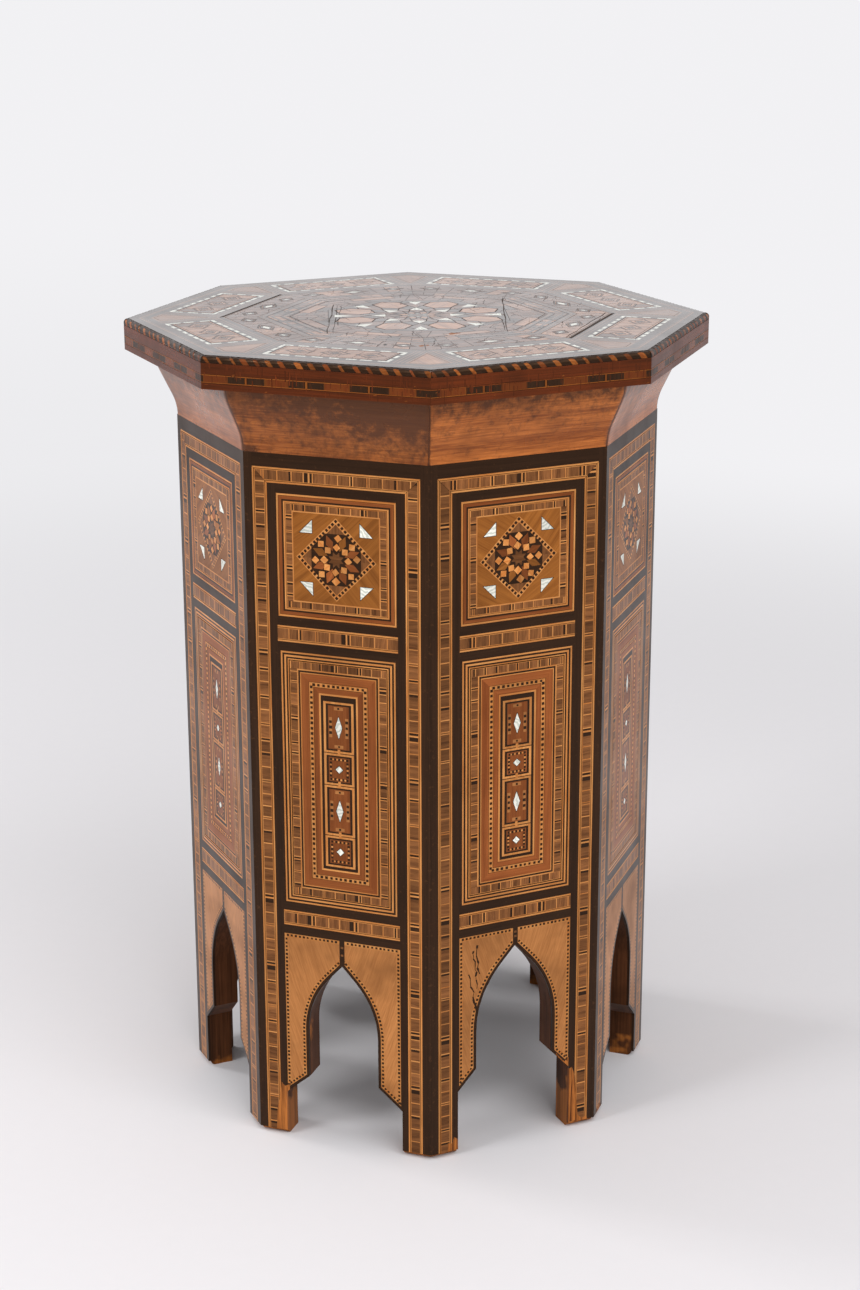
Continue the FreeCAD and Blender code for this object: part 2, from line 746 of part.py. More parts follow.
def pearl_triangles():
    """The four pearl triangles of a medallion, their square corners towards its middle."""
    near = f"(sizes.pearl_corner_share * {GOLDEN_HALF})"
    far = f"((sizes.pearl_corner_share + sizes.pearl_leg_share) * {GOLDEN_HALF})"
    triangles = []
    for up in ("+", "-"):
        right = [
            (near, f"({MEDALLION_MIDDLE} {up} {near})"),
            (far, f"({MEDALLION_MIDDLE} {up} {near})"),
            (near, f"({MEDALLION_MIDDLE} {up} {far})"),
        ]
        triangles.append(right)
        triangles.append(mirrored(right))
    return triangles


def tall_lozenges(side):
    """The four pearl lozenges of a tall panel, tall and small by turns."""
    height = tall_field_height(side)
    middle = f"({tall_middle(side)} - sizes.drop_share * {height})"
    tall = ("(sizes.lozenge_width / 2)", f"(sizes.lozenge_share * {height} / 2)")
    small = ("(sizes.small_lozenge / 2)", "(sizes.small_lozenge / 2)")
    lozenges = []
    for step, halves in zip((3, 1, -1, -3), (tall, small, tall, small)):
        place = f"({middle} + {step} * sizes.pitch_share * {height} / 2)"
        lozenges.append(lozenge_loop(*halves, place))
    return lozenges


def medallion_fields():
    """Golden square of every medallion, open for its pearl triangles and its star."""
    fields = []
    reach = f"(sizes.diamond_share * {GOLDEN_HALF})"
    for side in SIDES:
        loops = [centred_loop(GOLDEN_HALF, GOLDEN_HALF, MEDALLION_MIDDLE)]
        loops.append(lozenge_loop(reach, reach, MEDALLION_MIDDLE))
        loops.extend(pearl_triangles())
        body = inlay(f"medallion_field_{side}", [(loop, None) for loop in loops])
        body.Placement = side_place(side)
        fields.append(body)
    return group("medallion_fields", fields)


def medallion_stars():
    """Square set on its corner round the star rosette of every medallion."""
    stars = []
    reach = f"(sizes.diamond_share * {GOLDEN_HALF})"
    inner = f"({reach} - sizes.diamond_line / cos(2 * sizes.half_side_angle))"
    for side in SIDES:
        outside = lozenge_loop(reach, reach, MEDALLION_MIDDLE)
        tile = [lozenge_loop(inner, inner, MEDALLION_MIDDLE)]
        line = [outside] + tile
        for name, loops in (("line", line), ("tile", tile)):
            body = inlay(f"diamond_{name}_{side}", [(loop, None) for loop in loops])
            body.Placement = side_place(side)
            stars.append(body)
    return group("medallion_stars", stars)


def tall_panel_fields():
    """Innermost field of every tall panel, open for its pearl lozenges."""
    fields = []
    half = f"({TALL_HALF} - {TALL_FRAMES})"
    for side in SIDES:
        half_height = f"({tall_field_height(side)} / 2)"
        loops = [centred_loop(half, half_height, tall_middle(side))]
        loops.extend(tall_lozenges(side))
        body = inlay(f"tall_field_{side}", [(loop, None) for loop in loops])
        body.Placement = side_place(side)
        fields.append(body)
    return group("tall_panel_fields", fields)


def key_foot(path):
    """Height where the key bar's sides meet the line round the arch."""
    return f"({path['apex']} - sizes.key_bar / 2 / tan(sizes.arch_point_angle))"


def spandrel_veneers():
    """Pale veneer on both sides of the key bar, over the arch, on every side."""
    spandrels = []
    bar = "(sizes.key_bar / 2)"
    for side in SIDES:
        path = arch_path(side, "sizes.arch_edging")
        top = spandrel_top(side)
        right = [(bar, key_foot(path))] + arch_corners(path, FIELD) + [(FIELD, top), (bar, top)]
        arcs = {1: (path["haunch"], True)}
        left_arcs = {4: (path["haunch"], True)}
        loops = {"right": (right, arcs), "left": (mirrored(right), left_arcs)}
        for name, loop in loops.items():
            body = inlay(f"spandrel_{name}_{side}", [loop])
            body.Placement = side_place(side)
            spandrels.append(body)
    return group("spandrel_veneers", spandrels)


def arch_edging():
    """Dark line round every arch, and the key bar over its point."""
    strips = []
    bar = "(sizes.key_bar / 2)"
    for side in SIDES:
        inner = arch_path(side)
        outer = arch_path(side, "sizes.arch_edging")
        inside = arch_corners(inner, HALF_GAP)
        outside = arch_corners(outer, HALF_GAP)
        corners = [("0", inner["apex"])] + inside + outside[::-1]
        corners += [("0", outer["apex"])] + mirrored(outside[::-1]) + mirrored(inside)
        arcs = {
            1: (inner["haunch"], True),
            7: (outer["haunch"], False),
            10: (outer["haunch"], False),
            16: (inner["haunch"], True),
        }
        top = spandrel_top(side)
        key = [("0", outer["apex"]), (bar, key_foot(outer)), (bar, top)]
        key += [(f"-{bar}", top), (f"-{bar}", key_foot(outer))]
        for name, loop in (("line", (corners, arcs)), ("key", (key, None))):
            body = inlay(f"arch_{name}_{side}", [loop])
            body.Placement = side_place(side)
            strips.append(body)
    return group("arch_edging", strips)


def side_pearls():
    """Mother-of-pearl of the sides: triangles in the medallions, lozenges in the tall panels."""
    pearls = []
    for side in SIDES:
        loops = [(loop, None) for loop in pearl_triangles() + tall_lozenges(side)]
        body = inlay(f"pearls_{side}", loops)
        body.Placement = side_place(side)
        pearls.append(body)
    return group("side_pearls", pearls)


def top_inlay(label, loops, thickness="sizes.veneer"):
    """Veneer of the top: closed loops seen from above."""
    body = new_body(label)
    sketch = new_sketch(body, f"{label}_outline", "XY_Plane", PLANK_TOP)
    for loop in loops:
        draw_outline(sketch, loop)
    pad(body, sketch, thickness)
    return body


def spin(loop, steps):
    """Corners turned about the middle by a number of sides."""
    angle = f"({steps} * 2 * sizes.half_side_angle)"
    across = [f"(({x}) * cos{angle} - ({y}) * sin{angle})" for x, y in loop]
    along = [f"(({x}) * sin{angle} + ({y}) * cos{angle})" for x, y in loop]
    return list(zip(across, along))


def octagon_loop(apothem, steps=0.5):
    """Corners of an octagon, its sides facing the axes unless turned."""
    corner = [(f"({apothem} / {COS})", "0")]
    return [spin(corner, number + steps)[0] for number in range(len(SIDES))]


FULL_TURN = 360
PETAL_CORNERS = 6
CARTOUCHE_OUT = f"({SHEET_HALF} - sizes.border_strip)"
STAR_HALF = f"({CARTOUCHE_OUT} - sizes.cartouche_width - sizes.ring_strap)"


def cartouche_loop():
    """Corners of the front cartouche."""
    half = "sizes.cartouche_length / 2"
    low = f"-{CARTOUCHE_OUT}"
    return box_loop(f"-{half}", half, low, f"({low} + sizes.cartouche_width)")


def corner_piece_loop():
    """Corners of the kite between two cartouches, at the corner on +X."""
    reach = "(sizes.cartouche_length / 2 + sizes.corner_strap)"
    edge = f"({CARTOUCHE_OUT} * {COS} + {reach} * {SIN})"
    wide = f"({CARTOUCHE_OUT} * {SIN} - {reach} * {COS})"
    return [
        (f"({reach} / {SIN})", "0"),
        (edge, f"-{wide}"),
        (f"({CARTOUCHE_OUT} / {COS})", "0"),
        (edge, wide),
    ]


def top_ground():
    """Ebony sheet of the top, open for cartouches, corner pieces and the middle octagon."""
    loops = [octagon_loop(SHEET_HALF), octagon_loop(STAR_HALF)]
    for number in range(len(SIDES)):
        loops.append(spin(cartouche_loop(), number))
        loops.append(spin(corner_piece_loop(), number + 0.5))
    body = top_inlay("top_ground", loops)
    return body


def top_cartouches():
    """Light fields along the eight edges of the top."""
    loops = [spin(cartouche_loop(), number) for number in range(len(SIDES))]
    return top_inlay("top_cartouches", loops)


def top_corner_pieces():
    """Light kites at the eight corners of the top."""
    loops = [spin(corner_piece_loop(), number + 0.5) for number in range(len(SIDES))]
    return top_inlay("top_corner_pieces", loops)


def petal_loop():
    """Corners of the six-sided petal on +X."""
    corners = []
    for number in range(PETAL_CORNERS):
        angle = f"({number} * {FULL_TURN} / {PETAL_CORNERS})"
        across = f"(sizes.petal_place + sizes.petal_reach * cos{angle})"
        corners.append((across, f"(sizes.petal_reach * sin{angle})"))
    return corners


def star_pearl_loops():
    """Corners of the pearl triangles round the star, two on the line to every corner."""
    half = "(sizes.triangle_base / 2)"
    loops = []
    for number in range(len(SIDES)):
        for base, point in (("outer_base", "outer_point"), ("inner_base", "inner_point")):
            foot = f"sizes.{base}"
            triangle = [(foot, f"-{half}"), (foot, half), (f"sizes.{point}", "0")]
            loops.append(spin(triangle, number + 0.5))
    return loops


def ring_pearl_loops():
    """Corners of the eight pearl lozenges of the ring."""
    return [spin(ring_pearl_loop(), number) for number in range(len(SIDES))]


def ring_pearl_loop():
    """Corners of the pearl lozenge in the front stretch of the ring."""
    place = f"({STAR_HALF} - sizes.ring_width / 2)"
    half = "(sizes.ring_pearl_length / 2)"
    return [
        (f"-{half}", f"-{place}"),
        ("0", f"-({place} + sizes.ring_pearl_width / 2)"),
        (half, f"-{place}"),
        ("0", f"-({place} - sizes.ring_pearl_width / 2)"),
    ]


def top_star():
    """Middle octagon: an outer ring, a field of straps, and the star's octagon with its petals."""
    inner = f"({STAR_HALF} - sizes.ring_width)"
    petals = [spin(petal_loop(), number) for number in range(len(SIDES))]
    ring = [octagon_loop(STAR_HALF), octagon_loop(inner)] + ring_pearl_loops()
    field = [octagon_loop(inner), octagon_loop("sizes.star_reach", 0)]
    centre = [octagon_loop("sizes.star_reach", 0)] + petals + star_pearl_loops()
    parts = {"ring": ring, "field": field, "centre": centre, "petals": petals}
    return group("top_star", [top_inlay(f"star_{name}", loops) for name, loops in parts.items()])


def top_pearls():
    """Mother-of-pearl of the top: lozenges in the ring, triangles round the star."""
    return top_inlay("top_pearls", ring_pearl_loops() + star_pearl_loops())


def check(pieces):
    """Stop unless every object is sound and every piece is a valid shape."""
    for item in doc.Objects:
        if "Invalid" in item.State or "Error" in item.State:
            raise RuntimeError(f"{item.Label} did not compute")
    for piece in pieces:
        shape = piece.Shape
        if shape.isNull() or not shape.isValid() or not shape.Solids:
            raise RuntimeError(f"{piece.Label} is not a sound solid")


def build():
    """Every piece of the table."""
    pieces = [corner_post(corner) for corner in SIDES]
    pieces += [side_panel(side) for side in SIDES]
    pieces += [arch_board(side) for side in SIDES]
    pieces += [cornice_board(side) for side in SIDES]
    pieces += [edge_board(side) for side in SIDES]
    pieces += top_planks()
    pieces.append(top_battens())
    pieces.append(glue_blocks())
    pieces.append(group("rope_nosing", [nosing(side) for side in SIDES]))
    pieces.append(ebony_strips())
    pieces.append(block_banding())
    pieces.append(panel_frames())
    pieces.append(medallion_fields())
    pieces.append(medallion_stars())
    pieces.append(tall_panel_fields())
    pieces.append(spandrel_veneers())
    pieces.append(arch_edging())
    pieces.append(side_pearls())
    pieces.append(top_ground())
    pieces.append(top_cartouches())
    pieces.append(top_corner_pieces())
    pieces.append(top_star())
    pieces.append(top_pearls())
    return pieces


os.makedirs("parts", exist_ok=True)
table = build()
doc.recompute()
check(table)
for piece in table:
    piece.Shape.exportStep(f"parts/{piece.Label}.step")
    print(piece.Label, len(piece.Shape.Solids), round(piece.Shape.Volume))
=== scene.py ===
import math
import random
from collections import namedtuple

import bpy
from bpy.props import FloatProperty, FloatVectorProperty, PointerProperty
from mathutils import Matrix, Vector
from mathutils.geometry import delaunay_2d_cdt, tessellate_polygon


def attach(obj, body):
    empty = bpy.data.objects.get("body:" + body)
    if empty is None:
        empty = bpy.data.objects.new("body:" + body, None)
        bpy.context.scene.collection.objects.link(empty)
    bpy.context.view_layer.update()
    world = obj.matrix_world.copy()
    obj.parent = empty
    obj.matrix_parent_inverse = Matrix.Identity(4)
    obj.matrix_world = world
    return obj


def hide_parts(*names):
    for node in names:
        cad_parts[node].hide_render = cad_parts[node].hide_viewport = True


bl_info = {
    "name": "Octagonal Inlaid Side Table",
    "version": (1, 0, 0),
    "blender": (4, 5, 0),
    "location": "3D View > Sidebar > Side Table",
    "description": "Veneers, inlays and finishes of an octagonal inlaid side table",
    "category": "Object",
}

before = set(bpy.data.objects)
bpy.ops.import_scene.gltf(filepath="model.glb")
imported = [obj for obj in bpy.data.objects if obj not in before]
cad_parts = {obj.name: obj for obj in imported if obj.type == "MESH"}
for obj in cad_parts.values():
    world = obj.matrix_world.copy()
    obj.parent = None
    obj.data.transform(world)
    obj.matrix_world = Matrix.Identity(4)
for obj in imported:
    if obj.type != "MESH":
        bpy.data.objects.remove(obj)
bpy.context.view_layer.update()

SIDES = range(1, 9)
MM = 0.001
TURN = math.radians(45)
TURNS = tuple(number * TURN for number in range(8))
HALF_TURN = math.radians(22.5)
UPRIGHT = math.pi / 2
ARCH_LEAN = math.radians(42)
TAN, COS, SIN = math.tan(HALF_TURN), math.cos(HALF_TURN), math.sin(HALF_TURN)


def linear(code):
    """Linear colour of an sRGB hex code."""
    steps = [int(code[i : i + 2], 16) / 255 for i in (1, 3, 5)]
    return tuple(c / 12.92 if c <= 0.04045 else ((c + 0.055) / 1.055) ** 2.4 for c in steps)


def length(name, description, millimetres):
    """Length property, given in millimetres and kept in metres."""
    return FloatProperty(name=name, description=description, default=millimetres * MM, unit="LENGTH")


def colour(name, description, code):
    """Colour property from an sRGB hex code."""
    return FloatVectorProperty(name=name, description=description, default=linear(code),
                               subtype="COLOR")


def share(name, description, value):
    """Plain number without a unit."""
    return FloatProperty(name=name, description=description, default=value, subtype="FACTOR",
                         soft_min=-1)


class SideTableSizes(bpy.types.PropertyGroup):
    """Sizes of the veneers, the same as the solids under them."""

    top_across: length("Top Across", "Top, flat to flat over the nosing", 400)
    table_height: length("Height", "Floor to top", 600)
    body_across: length("Body Across", "Body, flat to flat over the veneers", 332)
    veneer: length("Veneer", "Thickness of every veneer and inlay", 2)
    stock: length("Stock", "Thickness of posts, panels and arch boards", 18)
    foot_wear: length("Foot Wear", "Height at which the veneers on the legs stop", 4)
    spandrel_height: length("Spandrel Height", "Floor to the spandrels' upper edge", 171)
    key_height: length("Key Height", "Arch's point to the spandrels' upper edge", 17)
    haunch: share("Haunch", "Radius of the arch's haunch over half the arch's width", 2.37)
    arch_cusp: length("Cusp", "Height of the cusp under the arch", 60)
    foot_run: length("Foot Run", "Cusp to the leg, across", 17)
    foot_drop: length("Foot Drop", "Cusp to where the arch board meets the leg, down", 16)
    arch_edging: length("Arch Edging", "Width of the dark line round the arch", 2.4)
    rail_play: length("Rail Play", "How far the lower rail stands up or down", 4)
    arch_play: length("Arch Play", "How far the arch stands up or down", 7.5)
    width_play: length("Width Play", "How much wider or narrower half the arch is", 2)
    head_strip: length("Head Strip", "Ebony above the banding", 10)
    outer_strip: length("Outer Strip", "Ebony between the banding and the corner", 6.4)
    banding: length("Banding", "Width of the block banding", 11)
    leg_strip: length("Leg Strip", "Ebony on a leg inside the banding", 4.9)
    rail_strip: length("Rail Strip", "Ebony between the banding and a rail", 5.9)
    medallion_strip: length("Medallion Strip", "Ebony between banding and medallion", 6.9)
    tall_strip: length("Tall Strip", "Ebony between the banding and the tall panel", 7.9)
    fillet: length("Fillet", "Ebony between two fields, one over the other", 7)
    rail: length("Rail", "Height of the two short rails of banding", 11.75)
    medallion_frame: length("Medallion Frame", "Width of the lines and blocks round it", 12.5)
    tall_frame: length("Tall Frame", "Width of the frames of the tall panel", 28)
    diamond_line: length("Diamond Line", "Width of the dotted line round the star", 3.2)
    lozenge_width: length("Lozenge Width", "Width of the tall pearl lozenges", 6)
    small_lozenge: length("Small Lozenge", "Small pearl lozenge, wide and high", 6.6)
    key_bar: length("Key Bar", "Width of the dark bar over the arch's point", 4)
    cove_height: length("Cove Height", "Height of the cornice", 49)
    cove_flare: length("Cove Flare", "How far the cornice leans out", 14.6)
    edge_height: length("Edge Height", "Height of the top's edge", 23)
    lipping: length("Lipping", "Width of the edge boards", 14)
    nosing_height: length("Nosing Height", "Height of the striped nosing", 5)
    nosing_width: length("Nosing Width", "Width of the striped nosing", 3.5)
    stripe: length("Stripe", "Length of one stripe of the nosing", 5)
    border_strip: length("Border", "Ebony round the top inside the nosing", 15)
    cartouche_length: length("Cartouche Length", "Cartouche of the top, along the edge", 93)
    cartouche_width: length("Cartouche Width", "Cartouche of the top, across the edge", 38.5)
    ring_strap: length("Ring Strap", "Ebony between a cartouche and the middle", 8)
    corner_strap: length("Corner Strap", "Ebony between cartouche and corner piece", 11)
    ring_width: length("Ring Width", "Outer ring of the top's middle octagon", 30)
    star_reach: length("Star Reach", "Middle of the top to the star's flat side", 63)


class SideTableColours(bpy.types.PropertyGroup):
    """Colours of the woods as the varnish shows them."""

    ebony: colour("Ebony", "Dark stained strips", "#2c1b11")
    ebony_deep: colour("Ebony Fibre", "Darkest fibre of the stained strips", "#140a06")
    ebony_worn: colour("Worn Ebony", "Rubbed places of the dark strips", "#553822")
    light: colour("Lemonwood", "Light lines and squares", "#dd9b5a")
    light_dark: colour("Lemonwood Fibre", "Darker fibre of the light lines", "#b56a2e")
    brown: colour("Walnut", "Brown blocks of the banding", "#986238")
    brown_dark: colour("Walnut Fibre", "Darker fibre of the brown blocks", "#4f2d17")
    red: colour("Padauk", "Reddish frames of the tall panels", "#98552a")
    red_dark: colour("Padauk Fibre", "Darker fibre of the reddish frames", "#6f3717")
    golden: colour("Apricot Wood", "Golden spandrels and medallion fields", "#cd8a50")
    golden_dark: colour("Apricot Fibre", "Darker fibre of the golden fields", "#9c6234")
    honey: colour("Honey", "Golden fields of the medallions", "#a0632a")
    honey_dark: colour("Honey Fibre", "Darker fibre of the medallions' fields", "#6f3d14")
    joint: colour("Joint", "Dirt in open joints", "#2a1a12")
    pearl: colour("Mother-of-Pearl", "Shell inlays", "#f4f2e6")
    pearl_cloud: colour("Shell Cloud", "Greyer growth bands of the shell", "#ccd0c3")
    cornice: colour("Cornice", "Varnished cornice boards", "#c06e30")
    cornice_dark: colour("Cornice Fibre", "Darker fibre of the cornice", "#7d3c12")
    edge: colour("Edge", "Varnished edge of the top", "#6c2e13")
    # Also marks the cornice's staining, its painted shadow under the top and its open mitres.
    edge_dark: colour("Edge Fibre", "Darker fibre of the top's edge", "#3a180a")
    edge_brown: colour("Edge Blocks", "Orange-brown blocks in the top's edge", "#743c18")
    edge_line: colour("Edge Line", "Light lines in the top's edge", "#a86228")
    raw: colour("Raw Wood", "Bare wood where a veneer is lost", "#c67838")
    raw_dark: colour("Raw Fibre", "Darker fibre of the bare wood", "#4a210d")
    board: colour("Carcass", "Posts, panels and arch boards", "#633a22")
    board_dark: colour("Carcass Fibre", "Darker fibre of the carcass", "#2e180d")
    top_dark: colour("Top Ebony", "Dark ground of the top", "#2d1d15")
    top_brown: colour("Top Walnut", "Brown pieces of the top", "#74492e")
    top_pale: colour("Top Apricot", "Pale pieces of the top", "#ad7650")
    top_line: colour("Top Line", "Thin pale lines of the top", "#826148")
    pine: colour("Pine", "Unseen boards of the top", "#b08a58")
    pine_dark: colour("Pine Fibre", "Late wood of the pine", "#7d5a33")
    floor: colour("Floor", "Pale studio floor", "#edebee")


# How far each side's arch and rail stray from the drawing, as shares of the plays.
HANDS = {1: -1, 2: 1, 3: -0.9, 4: 0.3, 5: -0.4, 6: 0.5, 7: -0.2, 8: 0}


class Layout:
    """Places on a side and on the top in millimetres, worked out from the sizes."""

    def __init__(self, sizes):
        for name in SideTableSizes.__annotations__:
            scale = 1 if name == "haunch" else 1 / MM
            setattr(self, name, getattr(sizes, name) * scale)
        self.face = self.body_across / 2
        self.inner = self.face - self.veneer - self.stock
        self.corner = self.face * TAN
        self.cornice_top = self.table_height - self.edge_height
        self.body_top = self.cornice_top - self.cove_height
        self.band_out = self.corner - self.outer_strip
        self.band_in = self.band_out - self.banding
        self.leg = self.band_in - self.leg_strip
        self.field = self.band_in - self.rail_strip
        self.medallion = self.band_in - self.medallion_strip
        self.golden = self.medallion - self.medallion_frame
        self.tall = self.band_in - self.tall_strip
        self.band_top = self.body_top - self.head_strip
        self.band_under = self.band_top - self.banding
        self.medallion_middle = self.band_under - self.fillet - self.medallion
        self.rail_top = self.medallion_middle - self.medallion - self.fillet
        self.rail_low = self.rail_top - self.rail
        self.tall_top = self.rail_low - self.fillet
        self.diamond = 0.939 * self.golden
        self.top_half = self.top_across / 2
        self.sheet_half = self.top_half - self.nosing_width
        self.cartouche_out = self.sheet_half - self.border_strip
        self.cartouche_in = self.cartouche_out - self.cartouche_width
        self.star_half = self.cartouche_in - self.ring_strap
        self.ring_in = self.star_half - self.ring_width

    def spandrel_top(self, side):
        return self.spandrel_height + self.rail_play * HANDS[side]

    def low_rail(self, side):
        low = self.spandrel_top(side) + self.fillet
        return low, low + self.rail

    def tall_low(self, side):
        return self.low_rail(side)[1] + self.fillet

    def tall_middle(self, side):
        return (self.tall_top + self.tall_low(side)) / 2

    def tall_field(self, side):
        return self.tall_top - self.tall_low(side) - 2 * self.tall_frame

    def cells(self, side):
        """Heights of the four lozenges of a tall panel, from the top down."""
        high = self.tall_field(side)
        middle = self.tall_middle(side) - 0.033 * high
        return [middle + step * 0.232 * high / 2 for step in (3, 1, -1, -3)]

    def arch(self, side, end, offset=0.0):
        """Right half of the arch's edge, grown by an offset, from its point down and out to end."""
        hand = HANDS[side]
        run = self.foot_run - self.width_play * hand
        clear = self.leg - run
        half = clear + offset
        haunch = self.haunch * clear + offset
        rise = offset / math.sin(ARCH_LEAN)
        apex = self.spandrel_height - self.key_height + self.arch_play * hand + rise
        start = half - haunch * (1 - math.cos(ARCH_LEAN))
        start_height = apex - start / math.tan(ARCH_LEAN)
        spring = start_height - haunch * math.sin(ARCH_LEAN)
        slope = self.foot_drop / run
        cusp = self.arch_cusp + self.arch_play * hand + offset * (math.sqrt(1 + slope**2) - slope)
        points = [(0.0, apex), (start, start_height)]
        steps = 10
        for step in range(1, steps + 1):
            angle = ARCH_LEAN * (1 - step / steps)
            points.append((half - haunch * (1 - math.cos(angle)), spring + haunch * math.sin(angle)))
        return points + [(half, cusp), (end, cusp - (end - half) * slope)]


# Tiles. A veneer is laid as tiles in the plane, and a later tile covers an earlier one.

Tile = namedtuple("Tile", "corners wood grain tone")


def tile(corners, wood, grain=0.0, tone=0.0):
    """One piece of wood: its corners, its wood, the angle of its grain and its own shade."""
    return Tile([tuple(corner) for corner in corners], wood, grain, tone)


def rect(left, right, low, high):
    """Corners of an upright rectangle."""
    return [(left, low), (right, low), (right, high), (left, high)]


def kite(at, middle, wide, up):
    """Corners of a lozenge about a spot, from its left corner."""
    return [(at - wide, middle), (at, middle - up), (at + wide, middle), (at, middle + up)]


def flipped(corners):
    """The same corners on the other side of the middle line."""
    return [(-x, y) for x, y in reversed(corners)]


def spun(corners, angle, centre=(0, 0)):
    """Corners turned about a centre."""
    cosine, sine = math.cos(angle), math.sin(angle)
    moved = [(x - centre[0], y - centre[1]) for x, y in corners]
    return [(centre[0] + x * cosine - y * sine, centre[1] + x * sine + y * cosine) for x, y in moved]


def shifted(corners, across, along):
    """Corners moved by a distance."""
    return [(x + across, y + along) for x, y in corners]


def shade(chance, spread=0.5):
    """Own shade of one piece of wood."""
    return chance.uniform(-spread, spread)


def toned(tiles, wood, by):
    """The same pieces, those of one wood a little lighter or darker."""
    return [one._replace(tone=one.tone + by) if one.wood == wood else one for one in tiles]


def outward(start, end):
    """Unit normal on the right of an edge."""
    x, y = end[0] - start[0], end[1] - start[1]
    size = math.hypot(x, y) or 1.0
    return y / size, -x / size


def grown(corners, by):
    """Corners of a convex polygon grown by a distance on every side."""
    corners = anticlockwise(list(corners))
    found = []
    for before, here, after in zip(corners[-1:] + corners[:-1], corners, corners[1:] + corners[:1]):
        (x0, y0), (x1, y1) = outward(before, here), outward(here, after)
        reach = by / max(1 + x0 * x1 + y0 * y1, 0.25)
        found.append((here[0] + reach * (x0 + x1), here[1] + reach * (y0 + y1)))
    return found


def set_in(corners, wood, grain, tone, gap=0.35):
    """One piece of the top with an open joint all round it."""
    return [tile(grown(corners, gap), "top_joint"), tile(corners, wood, grain, tone)]


def ring(half_width, half_height, middle, start, end, wood, chance):
    """Frame of four mitred strips between two insets from a panel's edge."""
    x0, x1 = half_width - start, half_width - end
    y0, y1 = half_height - start, half_height - end
    side = [(x1, middle - y1), (x0, middle - y0), (x0, middle + y0), (x1, middle + y1)]
    head = [(-x1, middle + y1), (x1, middle + y1), (x0, middle + y0), (-x0, middle + y0)]
    foot = [(-x0, middle - y0), (x0, middle - y0), (x1, middle - y1), (-x1, middle - y1)]
    strips = ((side, UPRIGHT), (flipped(side), UPRIGHT), (head, 0.0), (foot, 0.0))
    return [tile(corners, wood, grain, shade(chance, 0.25)) for corners, grain in strips]


def along_run(start, end, low, high, upright):
    """Corners of a rectangle along a run, standing or lying."""
    return rect(low, high, start, end) if upright else rect(start, end, low, high)


# Lengths and woods of the pieces of block banding that are sawn off together.
BLOCKS = [
    [(1.5, "ebony"), (1.3, "light"), (1.6, "ebony"), (0.8, "light"), (9.0, "brown"), (0.7, "light"),
     (8.6, "brown")],
    [(0.8, "light"), (9.2, "brown"), (0.6, "light"), (1.1, "brown"), (0.6, "light"), (8.6, "brown")],
    [(0.8, "light"), (9.4, "brown")],
    [(0.8, "light"), (8.0, "brown"), (1.7, "ebony")],
    [(0.8, "light"), (7.6, "brown"), (0.8, "light"), (1.4, "ebony")],
]


def blocks(start, end, low, high, upright, chance, scale=1.0):
    """Block banding along a run: long brown blocks, light dividers and thin dark bars."""
    tiles = []
    at = start - chance.uniform(0, 6)
    while at < end:
        for size, wood in chance.choice(BLOCKS):
            after = at + size * scale * chance.uniform(0.88, 1.12)
            first, last = max(at, start), min(after, end)
            if last - first > 0.15:
                grain = (0.0 if upright else UPRIGHT) + chance.uniform(-0.1, 0.1)
                corners = along_run(first, last, low, high, upright)
                tone = shade(chance, 0.65 if wood == "brown" else 0.4)
                tiles.append(tile(corners, wood, grain, tone))
            at = after
    return tiles


def dots(start, end, middle, size, pitch, upright, chance, wood="ebony"):
    """Row of small dark squares along a run."""
    number = max(1, round((end - start) / pitch))
    step = (end - start) / number
    tiles = []
    for index in range(number):
        centre = start + (index + 0.5) * step + chance.uniform(-0.12, 0.12) * size
        half = size / 2 * chance.uniform(0.86, 1.12)
        corners = along_run(centre - half, centre + half, middle - half, middle + half, upright)
        tiles.append(tile(corners, wood, 0.0, shade(chance)))
    return tiles


def area(corners):
    """Signed area of a polygon."""
    pairs = zip(corners, corners[1:] + corners[:1])
    return sum(x0 * y1 - x1 * y0 for (x0, y0), (x1, y1) in pairs) / 2


def anticlockwise(corners):
    """The same corners in anticlockwise order."""
    return corners if area(corners) > 0 else corners[::-1]


def holds(corners, spot):
    """Whether a polygon holds a spot."""
    x, y = spot
    inside = False
    for (x0, y0), (x1, y1) in zip(corners, corners[1:] + corners[:1]):
        if (y0 > y) != (y1 > y) and x < (x1 - x0) * (y - y0) / (y1 - y0) + x0:
            inside = not inside
    return inside


def inner_spot(corners):
    """A spot well inside a polygon: the middle of its largest triangle."""
    triangles = tessellate_polygon([[Vector((x, y, 0)) for x, y in corners]])
    found = [[corners[number] for number in triangle] for triangle in triangles]
    largest = max(found, key=lambda triangle: abs(area(triangle)))
    return sum(x for x, _ in largest) / 3, sum(y for _, y in largest) / 3


# Finish of each wood by its short name.
WOODS = {
    "ebony": "ebonised_pearwood_veneer",
    "light": "lemonwood_lines",
    "brown": "walnut_blocks",
    "red": "padauk_veneer",
    "golden": "apricot_wood_veneer",
    "honey": "honey_apricot_veneer",
    "pearl": "polished_river_shell",
    "joint": "dirt_in_open_joints",
    "raw": "split_poplar",
    "cornice": "varnished_beech_cornice",
    "edge": "shellacked_mahogany_edge",
    "edge_line": "shellacked_pearwood_line",
    "edge_brown": "shellacked_walnut_blocks",
    "top_dark": "shellacked_ebonised_ground",
    "top_brown": "shellacked_walnut_pieces",
    "top_pale": "shellacked_apricot_pieces",
    "top_line": "shellacked_lemonwood_lines",
    "top_joint": "soot_in_open_joints",
    "board": "stained_poplar_boards",
    "pine": "pine_boards",
}

LOG = 900  # millimetres of log that pieces are cut from, so that no two show the same fibres


